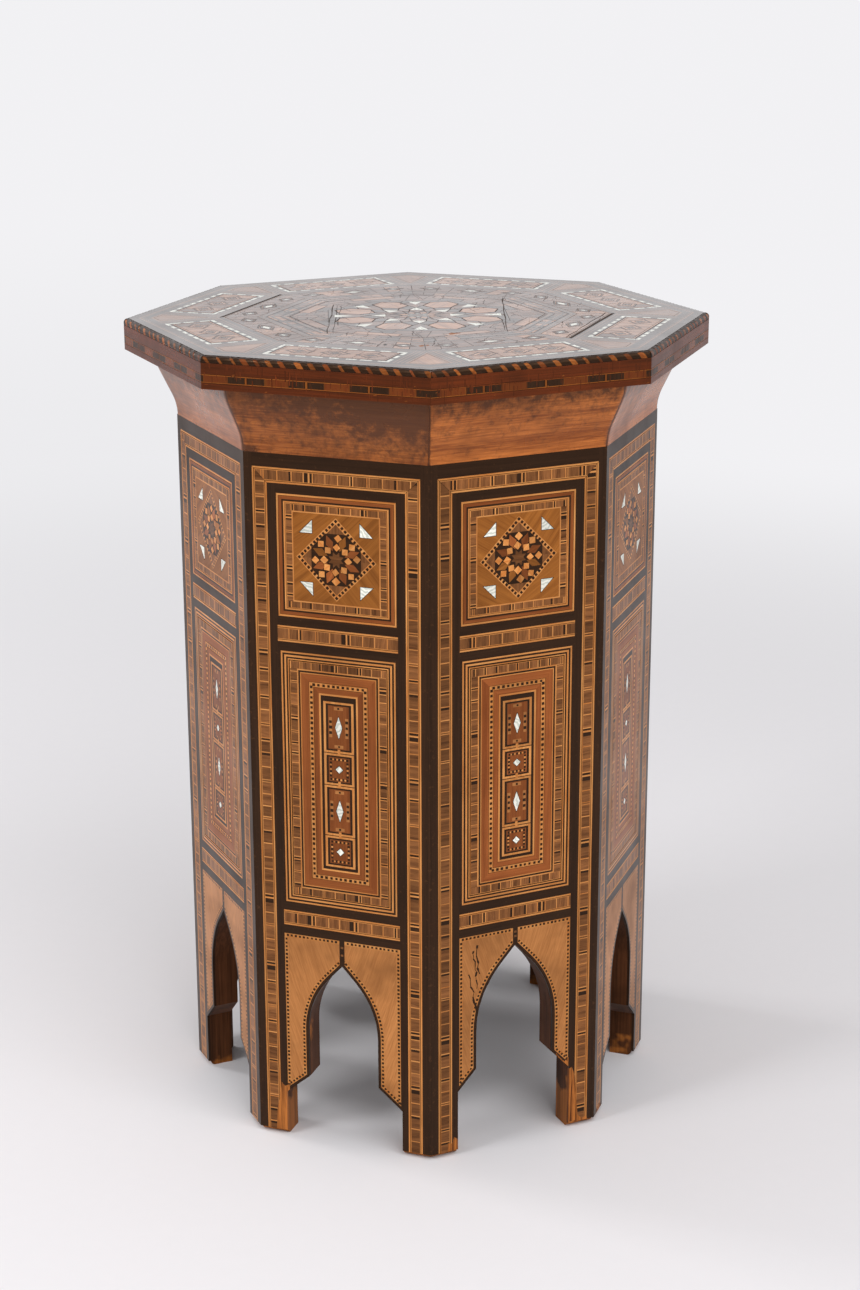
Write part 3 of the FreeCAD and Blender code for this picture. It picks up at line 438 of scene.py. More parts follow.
class Laying:
    """Mesh of a piece that is laid tile by tile and stands for one or more solids."""

    def __init__(self, name, seed):
        self.name = name
        self.plan = Layout(bpy.context.scene.side_table_sizes)
        self.chance = random.Random(seed)
        self.points, self.faces, self.woods = [], [], []
        self.fibres, self.tones, self.wear = [], [], []

    def face(self, numbers, wood, fibres, tone):
        """One face, the fibre coordinates of its corners in millimetres and its shade."""
        self.faces.append(numbers)
        self.woods.append(wood)
        self.fibres.append(fibres)
        self.tones.append(tone)

    def lay(self, domain, tiles, place, wood, worn=None, depth=None):
        """Closed sheet inside the first loop of the domain and outside its other loops.

        place turns a point of the plane and a depth into a point of the table. The sheet is as
        thick as a veneer unless a depth is given.
        """
        depth = depth or self.plan.veneer
        loops = [anticlockwise(list(loop)) for loop in domain + [one.corners for one in tiles]]
        spots, rounds = [], []
        for loop in loops:
            rounds.append(list(range(len(spots), len(spots) + len(loop))))
            spots.extend(Vector(spot) for spot in loop)
        plane, _, faces, _, _, origins = delaunay_2d_cdt(spots, [], rounds, 4, 1e-4, True)
        base = tile(domain[0], wood)
        front = len(self.points)
        back = front + len(plane)
        for level in (0.0, depth):
            self.points.extend(place(x, y, level) for x, y in plane)
            self.wear.extend(worn(x, y) if worn else 0.0 for x, y in plane)
        offsets, uses = {}, {}
        for numbers, above in zip(faces, origins):
            corners = [plane[n][:] for n in numbers]
            spot = inner_spot(corners)
            covers = [number for number in sorted(above, reverse=True) if holds(loops[number], spot)]
            if 0 not in covers or any(0 < number < len(domain) for number in covers):
                continue
            top = covers[0]
            one = tiles[top - len(domain)] if top else base
            if top not in offsets:
                offsets[top] = (self.chance.uniform(0, LOG), self.chance.uniform(0, LOG))
            fibres = shifted(spun(corners, -one.grain), *offsets[top])
            self.face([front + n for n in numbers], one.wood, fibres, one.tone)
            self.face([back + n for n in reversed(numbers)], one.wood, fibres[::-1], one.tone)
            for first, second in zip(numbers, numbers[1:] + numbers[:1]):
                uses.setdefault(frozenset((first, second)), []).append((first, second, one, fibres[0]))
        # An edge used once is on the sheet's outline and gets a wall.
        for (first, second, one, (x, y)), *others in uses.values():
            if not others:
                wall = [front + second, front + first, back + first, back + second]
                run = x + math.dist(plane[first], plane[second])
                ends = [(run, y), (x, y), (x, y + depth), (run, y + depth)]
                self.face(wall, one.wood, ends, one.tone)

    def finish(self, slot, nodes=None, smooth=False):
        """Make the object, give it its woods, hang it under the root and hide the solids it stands for.
        """
        # Tiles may reach past their sheet: only the points that carry a face stay.
        used = sorted({number for face in self.faces for number in face})
        index_of = {number: index for index, number in enumerate(used)}
        mesh = bpy.data.meshes.new(f"{self.name}_dressed")
        points = [Vector(self.points[number]) * MM for number in used]
        mesh.from_pydata(points, [], [[index_of[number] for number in face] for face in self.faces])
        kinds = sorted(set(self.woods))
        for kind in kinds:
            mesh.materials.append(bpy.data.materials[WOODS[kind]])
        for polygon, kind in zip(mesh.polygons, self.woods):
            polygon.material_index = kinds.index(kind)
            polygon.use_smooth = smooth
        mesh.attributes.new("tone", "FLOAT", "FACE").data.foreach_set("value", self.tones)
        wear = [self.wear[number] for number in used]
        mesh.attributes.new("wear", "FLOAT", "POINT").data.foreach_set("value", wear)
        flat = [number * MM for fibres in self.fibres for spot in fibres for number in spot]
        mesh.uv_layers.new(name="fibre").data.foreach_set("uv", flat)
        if smooth:
            mesh.set_sharp_from_angle(angle=math.radians(48))
        mesh.validate()
        piece = bpy.data.objects.new(mesh.name, mesh)
        bpy.context.scene.collection.objects.link(piece)
        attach(piece, "root")
        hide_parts(*(nodes or [self.name]))


def laying(name, seed):
    """New piece, with its layout and its own chance."""
    piece = Laying(name, seed)
    return piece, piece.plan, piece.chance


def on_face(side, face):
    """Function that puts a point of a side's plane, and a depth below it, on the table.

    face is how far the plane stands from the table's axis. The mitres cut what reaches past them.
    """
    turn = Matrix.Rotation((side - 1) * TURN, 3, "Z")

    def place(across, height, depth):
        apothem = face - depth
        limit = apothem * TAN
        return turn @ Vector((max(-limit, min(limit, across)), -apothem, height))

    return place


def on_top(plan):
    """Function that puts a point of the top's plane, and a depth below it, on the table."""
    return lambda across, along, depth: Vector((across, along, plan.table_height - depth))


# Materials.


def join(node, links):
    """Link inputs of a node to outputs, or set them to values."""
    for name, source in links.items():
        socket = node.inputs[name]
        if isinstance(source, bpy.types.NodeSocket):
            node.id_data.links.new(source, socket)
        else:
            socket.default_value = (*source, 1.0) if socket.type == "RGBA" else source


def add(tree, kind, links=None, out=0, **settings):
    """Add a shader node with its links and settings, and give back the output that is wanted."""
    node = tree.nodes.new("ShaderNode" + kind)
    for name, value in settings.items():
        setattr(node, name, value)
    join(node, links or {})
    return node.outputs[out] if node.outputs else None


def new_material(name):
    """Empty material with its Principled shader wired to the output."""
    material = bpy.data.materials.new(name)
    material.use_nodes = True
    tree = material.node_tree
    tree.nodes.clear()
    surface = add(tree, "BsdfPrincipled")
    add(tree, "OutputMaterial", {"Surface": surface})
    return tree, surface.node


def own_shade(tree, shown):
    """Colour made lighter or darker by the piece's own shade."""
    tone = add(tree, "Attribute", out="Fac", attribute_name="tone", attribute_type="GEOMETRY")
    value = add(tree, "Math", {0: tone, 1: 0.42, 2: 1.0}, operation="MULTIPLY_ADD")
    return add(tree, "HueSaturation", {"Color": shown, "Value": value})


def wood_finish(kind, pale, deep, fibre, laid=True, roughness=0.34, coat=0.0, level=0.3, figure=0.5,
                contrast=1.0, soot=0.3, wear=None, bump=0.12, sheen=0.08, fleck=3.0,
                wear_and_shade_from=(0.62, 0.84), feet=None):
    """Wood under old varnish.

    fibre is the length and width of its fibres in millimetres. A laid veneer follows its own
    fibre map and shade, and a board follows the table's own axes. contrast is how sharply pale
    and deep fibres part, and soot how dark the old polish lies in patches. wear is the
    colour that shows where the piece is marked as worn, and on the cornice as stained, dirty in
    its mitres and in painted shadow under the top, in flecks as many millimetres wide as fleck
    says; wear_and_shade_from is how much of the mark begins to show it and how much shows all of
    it. feet is the colour of the bared wood of the broken lowest few centimetres of the legs.
    """
    tree, shader = new_material(WOODS[kind])
    spots = add(tree, "TexCoord", out="Object")
    where = spots.node.outputs["UV"] if laid else spots
    along, across = 1 / (fibre[0] * MM), 1 / (fibre[1] * MM)
    scale = (along, across, across) if laid else (across, across, along)
    stretch = add(tree, "Mapping", {"Vector": where, "Scale": scale})
    fibres = add(tree, "TexNoise", {"Vector": stretch, "Scale": 1.0, "Detail": 4.0, "Roughness": 0.62,
                                    "Distortion": 0.25})
    broad = add(tree, "Mapping", {"Vector": where, "Scale": tuple(step / 7 for step in scale)})
    figures = add(tree, "TexNoise", {"Vector": broad, "Scale": 1.0, "Distortion": 0.6})
    both = add(tree, "Mix", {"Factor": figure, "A": fibres, "B": figures})
    spread = add(tree, "MapRange", {"Value": both, "From Min": 0.5 - 0.15 / contrast,
                                    "From Max": 0.5 + 0.15 / contrast})
    shown = add(tree, "Mix", {6: deep, 7: pale, 0: spread}, out=2, data_type="RGBA")
    shown = own_shade(tree, shown)
    # Soot and old polish gather in soft patches a few centimetres wide.
    patch = add(tree, "TexNoise", {"Vector": spots, "Scale": 1 / (45 * MM), "Detail": 3.0,
                                   "Roughness": 0.6})
    grime = add(tree, "MapRange", {"Value": patch, "From Min": 0.45, "From Max": 0.75, "To Max": soot})
    shown = add(tree, "Mix", {6: shown, 7: [c * 0.42 for c in deep], 0: grime}, out=2, data_type="RGBA")
    if wear is not None:
        # Rubbed corners, stains and, on the cornice, the painted shadow under the top break up into
        # flecks.
        flecks = add(tree, "TexNoise", {"Vector": spots, "Scale": 1 / (fleck * MM), "Detail": 5.0,
                                        "Roughness": 0.7})
        rubbed = add(tree, "Attribute", out="Fac", attribute_name="wear", attribute_type="GEOMETRY")
        reach = add(tree, "Math", {0: rubbed, 1: 0.22, 2: flecks}, operation="MULTIPLY_ADD")
        worn_and_shaded = add(tree, "MapRange", {"Value": reach, "From Min": wear_and_shade_from[0],
                                      "From Max": wear_and_shade_from[1], "To Max": 0.85})
        shown = add(tree, "Mix", {6: shown, 7: wear, 0: worn_and_shaded}, out=2, data_type="RGBA")
    if feet is not None:
        # Veneer and dirt have broken off low down. The three front legs are bare, the others dark.
        height = add(tree, "SeparateXYZ", {"Vector": spots}, out="Z")
        low = add(tree, "MapRange", {"Value": height, "From Max": 52 * MM, "To Min": 0.42,
                                     "To Max": 0.0})
        broken = add(tree, "TexNoise", {"Vector": spots, "Scale": 1 / (26 * MM), "Detail": 3.0})
        toward = add(tree, "VectorMath", {0: spots, 1: FORWARD}, out="Value", operation="DOT_PRODUCT")
        front = add(tree, "MapRange", {"Value": toward, "From Min": 40 * MM, "From Max": 80 * MM,
                                       "To Min": -0.25, "To Max": 0.0})
        some = add(tree, "Math", {0: broken, 1: front})
        more = add(tree, "Math", {0: low, 1: some})
        worn_and_shaded = add(tree, "MapRange", {"Value": more, "From Min": 0.64, "From Max": 0.7, "To Max": 0.9})
        fresh = add(tree, "Mix", {6: [c * 0.3 for c in feet], 7: [c * 0.8 for c in feet], 0: spread},
                    out=2, data_type="RGBA")
        shown = add(tree, "Mix", {6: shown, 7: fresh, 0: worn_and_shaded}, out=2, data_type="RGBA")
    # Varnish is dull where it is thin, in the same patches.
    rough = add(tree, "MapRange", {"Value": patch, "From Min": 0.3, "From Max": 0.7,
                                   "To Min": roughness - 0.06, "To Max": roughness + 0.1})
    relief = add(tree, "Bump", {"Height": both, "Strength": bump, "Distance": 0.4 * MM})
    join(shader, {"Base Color": shown, "Roughness": rough, "Normal": relief, "IOR": 1.5,
                  "Specular IOR Level": level, "Coat Weight": coat, "Coat Roughness": 0.22,
                  "Coat IOR": 1.5, "Sheen Weight": sheen, "Sheen Roughness": 0.4,
                  # Old shellac is amber: it gives back warm light, and white only at a slant.
                  "Specular Tint": (1.0, 0.55, 0.3)})


def pearl_finish(kind, pale, cloud):
    """Polished shell with pale and greenish growth bands."""
    tree, shader = new_material(WOODS[kind])
    where = add(tree, "TexCoord", out="UV")
    bands = add(tree, "TexWave", {"Vector": where, "Scale": 1 / (9 * MM), "Distortion": 6.0,
                                  "Detail": 3.0, "Detail Scale": 2.0}, out="Fac")
    patch = add(tree, "TexNoise", {"Vector": where, "Scale": 1 / (4 * MM), "Detail": 3.0,
                                   "Distortion": 1.2})
    mixed = add(tree, "Mix", {"Factor": 0.5, "A": bands, "B": patch})
    spread = add(tree, "MapRange", {"Value": mixed, "From Min": 0.4, "From Max": 0.6})
    body = add(tree, "Mix", {6: cloud, 7: pale, 0: spread}, out=2, data_type="RGBA")
    join(shader, {"Base Color": own_shade(tree, body), "Roughness": 0.24, "IOR": 1.6,
                  "Coat Weight": 0.3, "Coat Roughness": 0.12})


def make_materials():
    """Every finish of the table."""
    tint = bpy.context.scene.side_table_colours
    # Pearwood boiled black: almost no figure, a brown glow where the stain is thin.
    wood_finish("ebony", tint.ebony, tint.ebony_deep, (30, 0.8), wear=tint.ebony_worn)
    # Lemonwood sawn into thin lines: pale yellow, fine and even.
    wood_finish("light", tint.light, tint.light_dark, (14, 0.5))
    # Walnut blocks set across the strip: mid brown with short dark pores.
    wood_finish("brown", tint.brown, tint.brown_dark, (9, 0.45), contrast=0.95)
    # Padauk sliced along the grain: red-brown with long straight fibres.
    wood_finish("red", tint.red, tint.red_dark, (40, 0.7))
    # Apricot wood: golden, with a soft wavy figure and old polish in its pores.
    wood_finish("golden", tint.golden, tint.golden_dark, (16, 1.1), figure=0.35, contrast=0.7,
                soot=0.65)
    # The same apricot wood, darker under older varnish in the medallions.
    wood_finish("honey", tint.honey, tint.honey_dark, (22, 0.7), figure=0.6, contrast=0.8)
    # Dust and glue in joints that have opened: almost black and dead matt.
    wood_finish("joint", tint.joint, tint.ebony_deep, (5, 1.0), roughness=0.85, level=0.1, sheen=0.0)
    # Poplar split when the veneer broke away: pale orange, rough, with open fibres.
    wood_finish("raw", tint.raw, tint.raw_dark, (26, 1.0), roughness=0.6, contrast=1.5, bump=0.5)
    # Poplar carcass, stained and never polished: open fibres and old dirt.
    wood_finish("board", tint.board, tint.board_dark, (60, 1.6), laid=False, roughness=0.62, level=0.2,
                soot=0.6, bump=0.4, feet=tint.raw)
    # Pine planks: wide bands of early and late wood.
    wood_finish("pine", tint.pine, tint.pine_dark, (120, 4.0), laid=False, roughness=0.65, bump=0.3)
    # Varnished beech: long horizontal fibres and darker streaks. The edge's dark fibre marks its
    # staining, its painted shadow under the top and its open mitres.
    wood_finish("cornice", tint.cornice, tint.cornice_dark, (24, 1.2), figure=0.4, contrast=1.15,
                roughness=0.29, level=0.45, coat=0.2, soot=0.7, wear=tint.edge_dark, fleck=7.0,
                wear_and_shade_from=(0.56, 0.84))
    # Mahogany under thick shellac: deep red-brown and glossy.
    shellac = {"roughness": 0.26, "soot": 0.5}
    wood_finish("edge", tint.edge, tint.edge_dark, (38, 0.9), **shellac)
    # Pearwood lines under the same shellac: orange-brown, half sunk in old polish.
    wood_finish("edge_line", tint.edge_line, tint.edge, (16, 0.6), **shellac)
    # Walnut blocks under the same shellac: brown with a red cast and short pores.
    wood_finish("edge_brown", tint.edge_brown, tint.edge, (9, 0.5), **shellac)
    # The top lies flat: its shellac is thick, glossy and grey with fine scratches.
    flat = {"roughness": 0.3, "coat": 0.7, "level": 0.5}
    # Ebonised pearwood under it: an even dark brown.
    wood_finish("top_dark", tint.top_dark, tint.ebony_deep, (30, 0.8), **flat)
    # Walnut under it: short dark pores that stand out.
    wood_finish("top_brown", tint.top_brown, tint.board_dark, (18, 0.7), contrast=1.5, soot=0.5, **flat)
    # Apricot wood under it: dull pink-brown with brown pores.
    wood_finish("top_pale", tint.top_pale, tint.top_brown, (18, 0.7), contrast=1.5, soot=0.4, **flat)
    # Lemonwood lines under it: grey-brown and even.
    wood_finish("top_line", tint.top_line, tint.top_brown, (14, 0.5), **flat)
    # Soot and old shellac in the top's open joints: dark and a little glossy.
    wood_finish("top_joint", tint.joint, tint.ebony_deep, (5, 1.0), roughness=0.6, sheen=0.0)
    # River shell ground flat and polished: white with faint greenish bands and a wet gloss.
    pearl_finish("pearl", tint.pearl, tint.pearl_cloud)


# Operators, one for each piece or group of like pieces.


class SideTableOperator(bpy.types.Operator):
    """Base of the table's operators."""

    bl_options = {"REGISTER", "UNDO"}


class SIDETABLE_OT_finishes(SideTableOperator):
    """Make the finishes and dress the boards that keep their own shape."""

    bl_idname = "side_table.finishes"
    bl_label = "Finishes"

    def execute(self, context):
        make_materials()
        boards = {"board": ("corner_post", "side_panel", "arch_board"),
                  "pine": ("top_plank", "top_battens", "glue_blocks")}
        for wood, names in boards.items():
            for node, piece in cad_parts.items():
                if node.startswith(names):
                    piece.data.materials.clear()
                    piece.data.materials.append(bpy.data.materials[WOODS[wood]])
        return {"FINISHED"}


# Places low on the legs where a veneer has broken off and bare wood shows, by side.
LOST_VENEER = {
    1: [(-0.1, [(-55.4, 0), (-44, 0), (-44, 43), (-48, 41), (-50.6, 44), (-52.2, 31), (-54.6, 20)])],
    2: [(0.0, [(-55.0, 0), (-46, 0), (-46, 12), (-49.5, 15), (-51.4, 10), (-54.6, 11)]),
        (0.0, [(44, 3), (63, 3), (62.5, 6.5), (58, 6.0), (54.6, 9), (52.8, 28), (51.6, 43), (49, 51),
               (44, 49)]),
        (0.5, [(47.6, 5), (52.4, 5), (51.6, 26), (50.8, 42), (49.2, 44), (48.4, 30)]),
        (-0.2, [(34, 58), (46, 48), (46, 60), (42.5, 57), (38, 62), (35.5, 66)])],
    3: [(-0.4, [(-63, 3), (-48, 3), (-50, 7), (-56, 9.5), (-63, 7)])],
    5: [(-0.3, [(50, 3), (64, 3), (64, 14), (60, 9), (54, 8)])],
    7: [(-0.4, [(-60, 3), (-46, 3), (-46, 16), (-51, 12), (-57, 6)])],
}


def lost_veneer(side):
    """Bare wood in one side's sheets."""
    return [tile(corners, "raw", UPRIGHT, tone) for tone, corners in LOST_VENEER.get(side, [])]


class SIDETABLE_OT_ebony_strips(SideTableOperator):
    """Lay the ebony of the eight sides."""

    bl_idname = "side_table.ebony_strips"
    bl_label = "Ebony Strips"

    def execute(self, context):
        piece, plan, chance = laying("ebony_strips", 11)
        foot = plan.foot_wear

        def worn(x, y):
            """The varnish is rubbed off towards the body's corners."""
            part = (abs(x) - plan.band_out) / (plan.corner - plan.band_out)
            return 0.35 * max(0.0, min(1.0, part)) ** 2

        for side in SIDES:
            place = on_face(side, plan.face)
            edge = rect(plan.band_out, plan.corner, foot, plan.body_top)
            for corners in (edge, flipped(edge)):
                tiles = [tile(corners, "ebony", UPRIGHT, chance.uniform(0.3, 1.1))] + lost_veneer(side)
                piece.lay([corners], tiles, place, "ebony", worn)
            head = rect(-plan.band_out, plan.band_out, plan.band_top, plan.body_top)
            piece.lay([head], [], place, "ebony")
            edging = plan.arch(side, plan.leg, plan.arch_edging)
            spandrel = plan.arch(side, plan.field, plan.arch_edging)
            right = [(plan.field, plan.spandrel_top(side)), spandrel[-1], edging[-1], (plan.leg, foot),
                     (plan.band_in, foot), (plan.band_in, plan.band_under)]
            middle = plan.medallion_middle
            windows = [
                rect(-plan.medallion, plan.medallion, middle - plan.medallion, middle + plan.medallion),
                rect(-plan.field, plan.field, plan.rail_low, plan.rail_top),
                rect(-plan.tall, plan.tall, plan.tall_low(side), plan.tall_top),
                rect(-plan.field, plan.field, *plan.low_rail(side)),
            ]
            upright = rect(plan.field, plan.band_in, foot, plan.band_under)
            strips = [tile(one, "ebony", UPRIGHT, shade(chance)) for one in (upright, flipped(upright))]
            piece.lay([right + flipped(right)] + windows, strips + lost_veneer(side), place, "ebony")
        piece.finish("ebony")
        return {"FINISHED"}


class SIDETABLE_OT_block_banding(SideTableOperator):
    """Lay the block banding of the eight sides."""

    bl_idname = "side_table.block_banding"
    bl_label = "Block Banding"

    def execute(self, context):
        piece, plan, chance = laying("block_banding", 23)
        foot, near, far = plan.foot_wear, plan.band_in, plan.band_out
        line = 1.2  # light line along both edges
        gap = 2.1  # edge to the blocks
        seam = 0.5  # light wood shown beside the blocks
        for side in SIDES:
            place = on_face(side, plan.face)
            for sign in (1, -1):
                domain = [(near, foot), (far, foot), (far, plan.band_top), (near, plan.band_under)]
                lines = [rect(far - line, far, foot, plan.band_top),
                         rect(near, near + line, foot, plan.band_top)]
                mitre = [(near, plan.band_under - 0.3), (near, plan.band_under + 0.3),
                         (far, plan.band_top + 0.3), (far, plan.band_top - 0.3)]
                low, high = near + gap, far - gap
                if sign < 0:
                    domain, mitre = flipped(domain), flipped(mitre)
                    lines = [flipped(one) for one in lines]
                    low, high = -high, -low
                tiles = [tile(one, "light", UPRIGHT, shade(chance, 0.3)) for one in lines]
                bed = rect(low - seam, high + seam, foot, plan.band_top)
                tiles.append(tile(bed, "light", UPRIGHT, -0.2))
                tiles += blocks(foot, plan.band_top, low, high, True, chance)
                if side == 2 and sign < 0:
                    # The strip to the right of the front corner is darker.
                    tiles = toned(toned(tiles, "brown", -0.45), "light", -0.35)
                tiles += [tile(mitre, "joint")] + lost_veneer(side)
                piece.lay([domain], tiles, place, "joint")
            head = [(near, plan.band_under), (far, plan.band_top)]
            lying = [(head + flipped(head), far, plan.band_under, plan.band_top)]
            for low, high in ((plan.rail_low, plan.rail_top), plan.low_rail(side)):
                lying.append((rect(-plan.field, plan.field, low, high), plan.field, low, high))
            for domain, reach, low, high in lying:
                bed = rect(-reach, reach, low + gap - seam, high - gap + seam)
                tiles = [tile(rect(-reach, reach, high - line, high), "light"),
                         tile(rect(-reach, reach, low, low + line), "light"),
                         tile(bed, "light", 0.0, -0.2)]
                tiles += blocks(-reach, reach, low + gap, high - gap, False, chance)
                piece.lay([domain], tiles, place, "joint")
        piece.finish("banding_wood")
        return {"FINISHED"}


# Strips of the frames, each from one inset to another, and the insets of their block banding.
MEDALLION_STRIPS = ((0, 1.3, "light"), (1.3, 1.6, "joint"), (1.6, 3.9, "red"), (3.9, 5.2, "ebony"),
                    (5.2, 6.3, "light"), (6.3, 6.8, "joint"), (11.7, 12.4, "light"),
                    (6.6, 11.8, "light"))
MEDALLION_BLOCKS = (7.0, 11.5)
TALL_STRIPS = ((0, 1.2, "light"), (1.2, 2.6, "ebony"), (2.6, 4.0, "light"), (4.0, 5.2, "ebony"),
               (5.2, 6.0, "light"), (6.0, 6.7, "joint"), (6.7, 13.2, "light"), (13.2, 14.5, "ebony"),
               (14.5, 15.2, "light"), (15.2, 21.0, "red"), (21.0, 21.3, "joint"), (21.3, 24.5, "light"),
               (24.5, 24.8, "joint"), (24.8, 28.0, "red"))
TALL_BLOCKS = (7.0, 12.2)
TALL_DOTS = 22.9


def nested_frame(half_width, half_height, middle, strips, banding, chance):
    """Nested strips round a panel, and block banding between two insets."""
    tiles = []
    for start, end, wood in strips:
        tiles += ring(half_width, half_height, middle, start, end, wood, chance)
    start, end = banding
    x0, x1 = half_width - end, half_width - start
    y0, y1 = half_height - end, half_height - start
    for run in ((middle - y0, middle + y0, x0, x1, True),
                (middle - y0, middle + y0, -x1, -x0, True),
                (-x1, x1, middle + y0, middle + y1, False),
                (-x1, x1, middle - y1, middle - y0, False)):
        tiles += blocks(*run, chance, 0.8)
    return tiles


class SIDETABLE_OT_panel_frames(SideTableOperator):
    """Lay the nested frames of the medallions and the tall panels."""

    bl_idname = "side_table.panel_frames"
    bl_label = "Panel Frames"

    def execute(self, context):
        piece, plan, chance = laying("panel_frames", 37)
        for side in SIDES:
            place = on_face(side, plan.face)
            middle, half = plan.medallion_middle, plan.medallion
            tiles = nested_frame(half, half, middle, MEDALLION_STRIPS, MEDALLION_BLOCKS, chance)
            outer = rect(-half, half, middle - half, middle + half)
            inner = rect(-plan.golden, plan.golden, middle - plan.golden, middle + plan.golden)
            piece.lay([outer, inner], tiles, place, "brown")
            middle, half = plan.tall_middle(side), plan.tall
            high = (plan.tall_top - plan.tall_low(side)) / 2
            tiles = nested_frame(half, high, middle, TALL_STRIPS, TALL_BLOCKS, chance)
            tiles = toned(tiles, "red", 0.75 if side == 2 else 0.1)
            across, up = half - TALL_DOTS, high - TALL_DOTS
            for sign in (1, -1):
                tiles += dots(middle - up, middle + up, sign * across, 2.0, 3.9, True, chance)
                tiles += dots(-across, across, middle + sign * up, 2.0, 3.9, False, chance)
            outer = rect(-half, half, plan.tall_low(side), plan.tall_top)
            field, half = plan.tall_field(side) / 2, half - plan.tall_frame
            piece.lay([outer, rect(-half, half, middle - field, middle + field)], tiles, place, "red")
        piece.finish("frame_wood")
        return {"FINISHED"}


# Start and leg of a medallion's pearl triangle, and half height of a tall panel's long pearl, each
# in shares of half the field that it lies in.
PEARL_START, PEARL_LEG, LONG_PEARL = 0.548, 0.329, 0.132


def pearl_corners(plan):
    """Corners of the four pearl triangles of a medallion."""
    near = PEARL_START * plan.golden
    far = near + PEARL_LEG * plan.golden
    middle = plan.medallion_middle
    found = []
    for sign in (1, -1):
        right = [(near, middle + sign * near), (far, middle + sign * near), (near, middle + sign * far)]
        found += [right, flipped(right)]
    return found


def lozenge(half_width, half_height, middle):
    """Corners of a lozenge on the middle line, from its foot."""
    return [(0, middle - half_height), (half_width, middle), (0, middle + half_height),
            (-half_width, middle)]


def lozenges(plan, side):
    """Corners of the four pearl lozenges of a tall panel."""
    tall = (plan.lozenge_width / 2, LONG_PEARL * plan.tall_field(side) / 2)
    small = (plan.small_lozenge / 2, plan.small_lozenge / 2)
    return [lozenge(*half, at) for half, at in zip((tall, small, tall, small), plan.cells(side))]


class SIDETABLE_OT_medallion_fields(SideTableOperator):
    """Lay the golden fields of the medallions."""

    bl_idname = "side_table.medallion_fields"
    bl_label = "Medallion Fields"

    def execute(self, context):
        piece, plan, chance = laying("medallion_fields", 41)
        middle, half = plan.medallion_middle, plan.golden
        domain = [rect(-half, half, middle - half, middle + half),
                  lozenge(plan.diamond, plan.diamond, middle)]
        for side in SIDES:
            tiles = []
            for left, low in ((-half, 0), (0, 0), (-half, -half), (0, -half)):
                corners = rect(left, left + half, middle + low, middle + low + half)
                lean = chance.choice((-1, 1)) * chance.uniform(0.5, 1.0)
                tone = shade(chance, 0.4) + (0.45 if side == 2 else 0.0)
                tiles.append(tile(corners, "honey", lean, tone))
            piece.lay(domain + pearl_corners(plan), tiles, on_face(side, plan.face), "honey")
        piece.finish("fruitwood")
        return {"FINISHED"}


def rosette(plan, chance):
    """Tiles of one star, about its own middle and then lifted to the medallion."""
    flat = plan.diamond / math.sqrt(2)
    inside = flat - plan.diamond_line
    found = []

    def put(corners, wood, turn=0.0, tone=0.0):
        found.append(tile(shifted(spun(corners, turn), 0, plan.medallion_middle), wood, turn, tone))

    eighth = math.pi / 4
    # A dotted strip between two light lines along every side of the square.
    row = 13
    across = flat - plan.diamond_line / 2
    for quarter in range(4):
        for number in range(row):
            at = -flat + (number + 0.5) * 2 * flat / row + chance.uniform(-0.15, 0.15)
            half = 1.0 * chance.uniform(0.85, 1.1)
            turn = eighth + quarter * UPRIGHT
            put(rect(across - 1.0, across + 1.0, at - half, at + half), "ebony", turn,
                shade(chance))
    tip = inside * math.sqrt(2)
    for quarter in range(4):
        put([(0, -tip), (tip, 0), (0, tip)], "brown", quarter * UPRIGHT, shade(chance, 0.3))
    corner = 1.03 * inside / COS
    put([(corner * math.cos(HALF_TURN + k * eighth), corner * math.sin(HALF_TURN + k * eighth))
         for k in range(8)], "ebony")
    for ray in range(8):
        turn = ray * eighth
        wide = 3.0 * chance.uniform(0.94, 1.06)
        wood = chance.choice(("red", "red", "honey"))
        put([(6.8, 0), (12.6, -wide), (18.8, 0), (12.6, wide)], wood, turn + HALF_TURN,
            0.2 + shade(chance, 0.9))
        for at, half in ((9.0, 3.0), (15.6, 3.1)):
            half *= chance.uniform(0.93, 1.06)
            tilt = turn + chance.uniform(-0.12, 0.12)
            spot = kite(at, 0, half, half)
            put(grown(spot, 0.25), "joint", tilt)
            put(spot, "light", tilt, shade(chance, 0.8))
    points = []
    for ray in range(8):
        outer, inner = HALF_TURN + ray * eighth, (ray + 1) * eighth
        points += [(6.2 * math.cos(outer), 6.2 * math.sin(outer)),
                   (3.6 * math.cos(inner), 3.6 * math.sin(inner))]
    put(points, "brown", 0.0, -0.8)
    return found


class SIDETABLE_OT_medallion_stars(SideTableOperator):
    """Lay the square set on its corner and the eight-fold rosette in every medallion."""

    bl_idname = "side_table.medallion_stars"
    bl_label = "Medallion Stars"

    def execute(self, context):
        piece = Laying("medallion_stars", 53)
        plan = piece.plan
        outer = lozenge(plan.diamond, plan.diamond, plan.medallion_middle)
        for side in SIDES:
            piece.lay([outer], rosette(plan, piece.chance), on_face(side, plan.face), "light")
        piece.finish("rosette_wood")
        return {"FINISHED"}


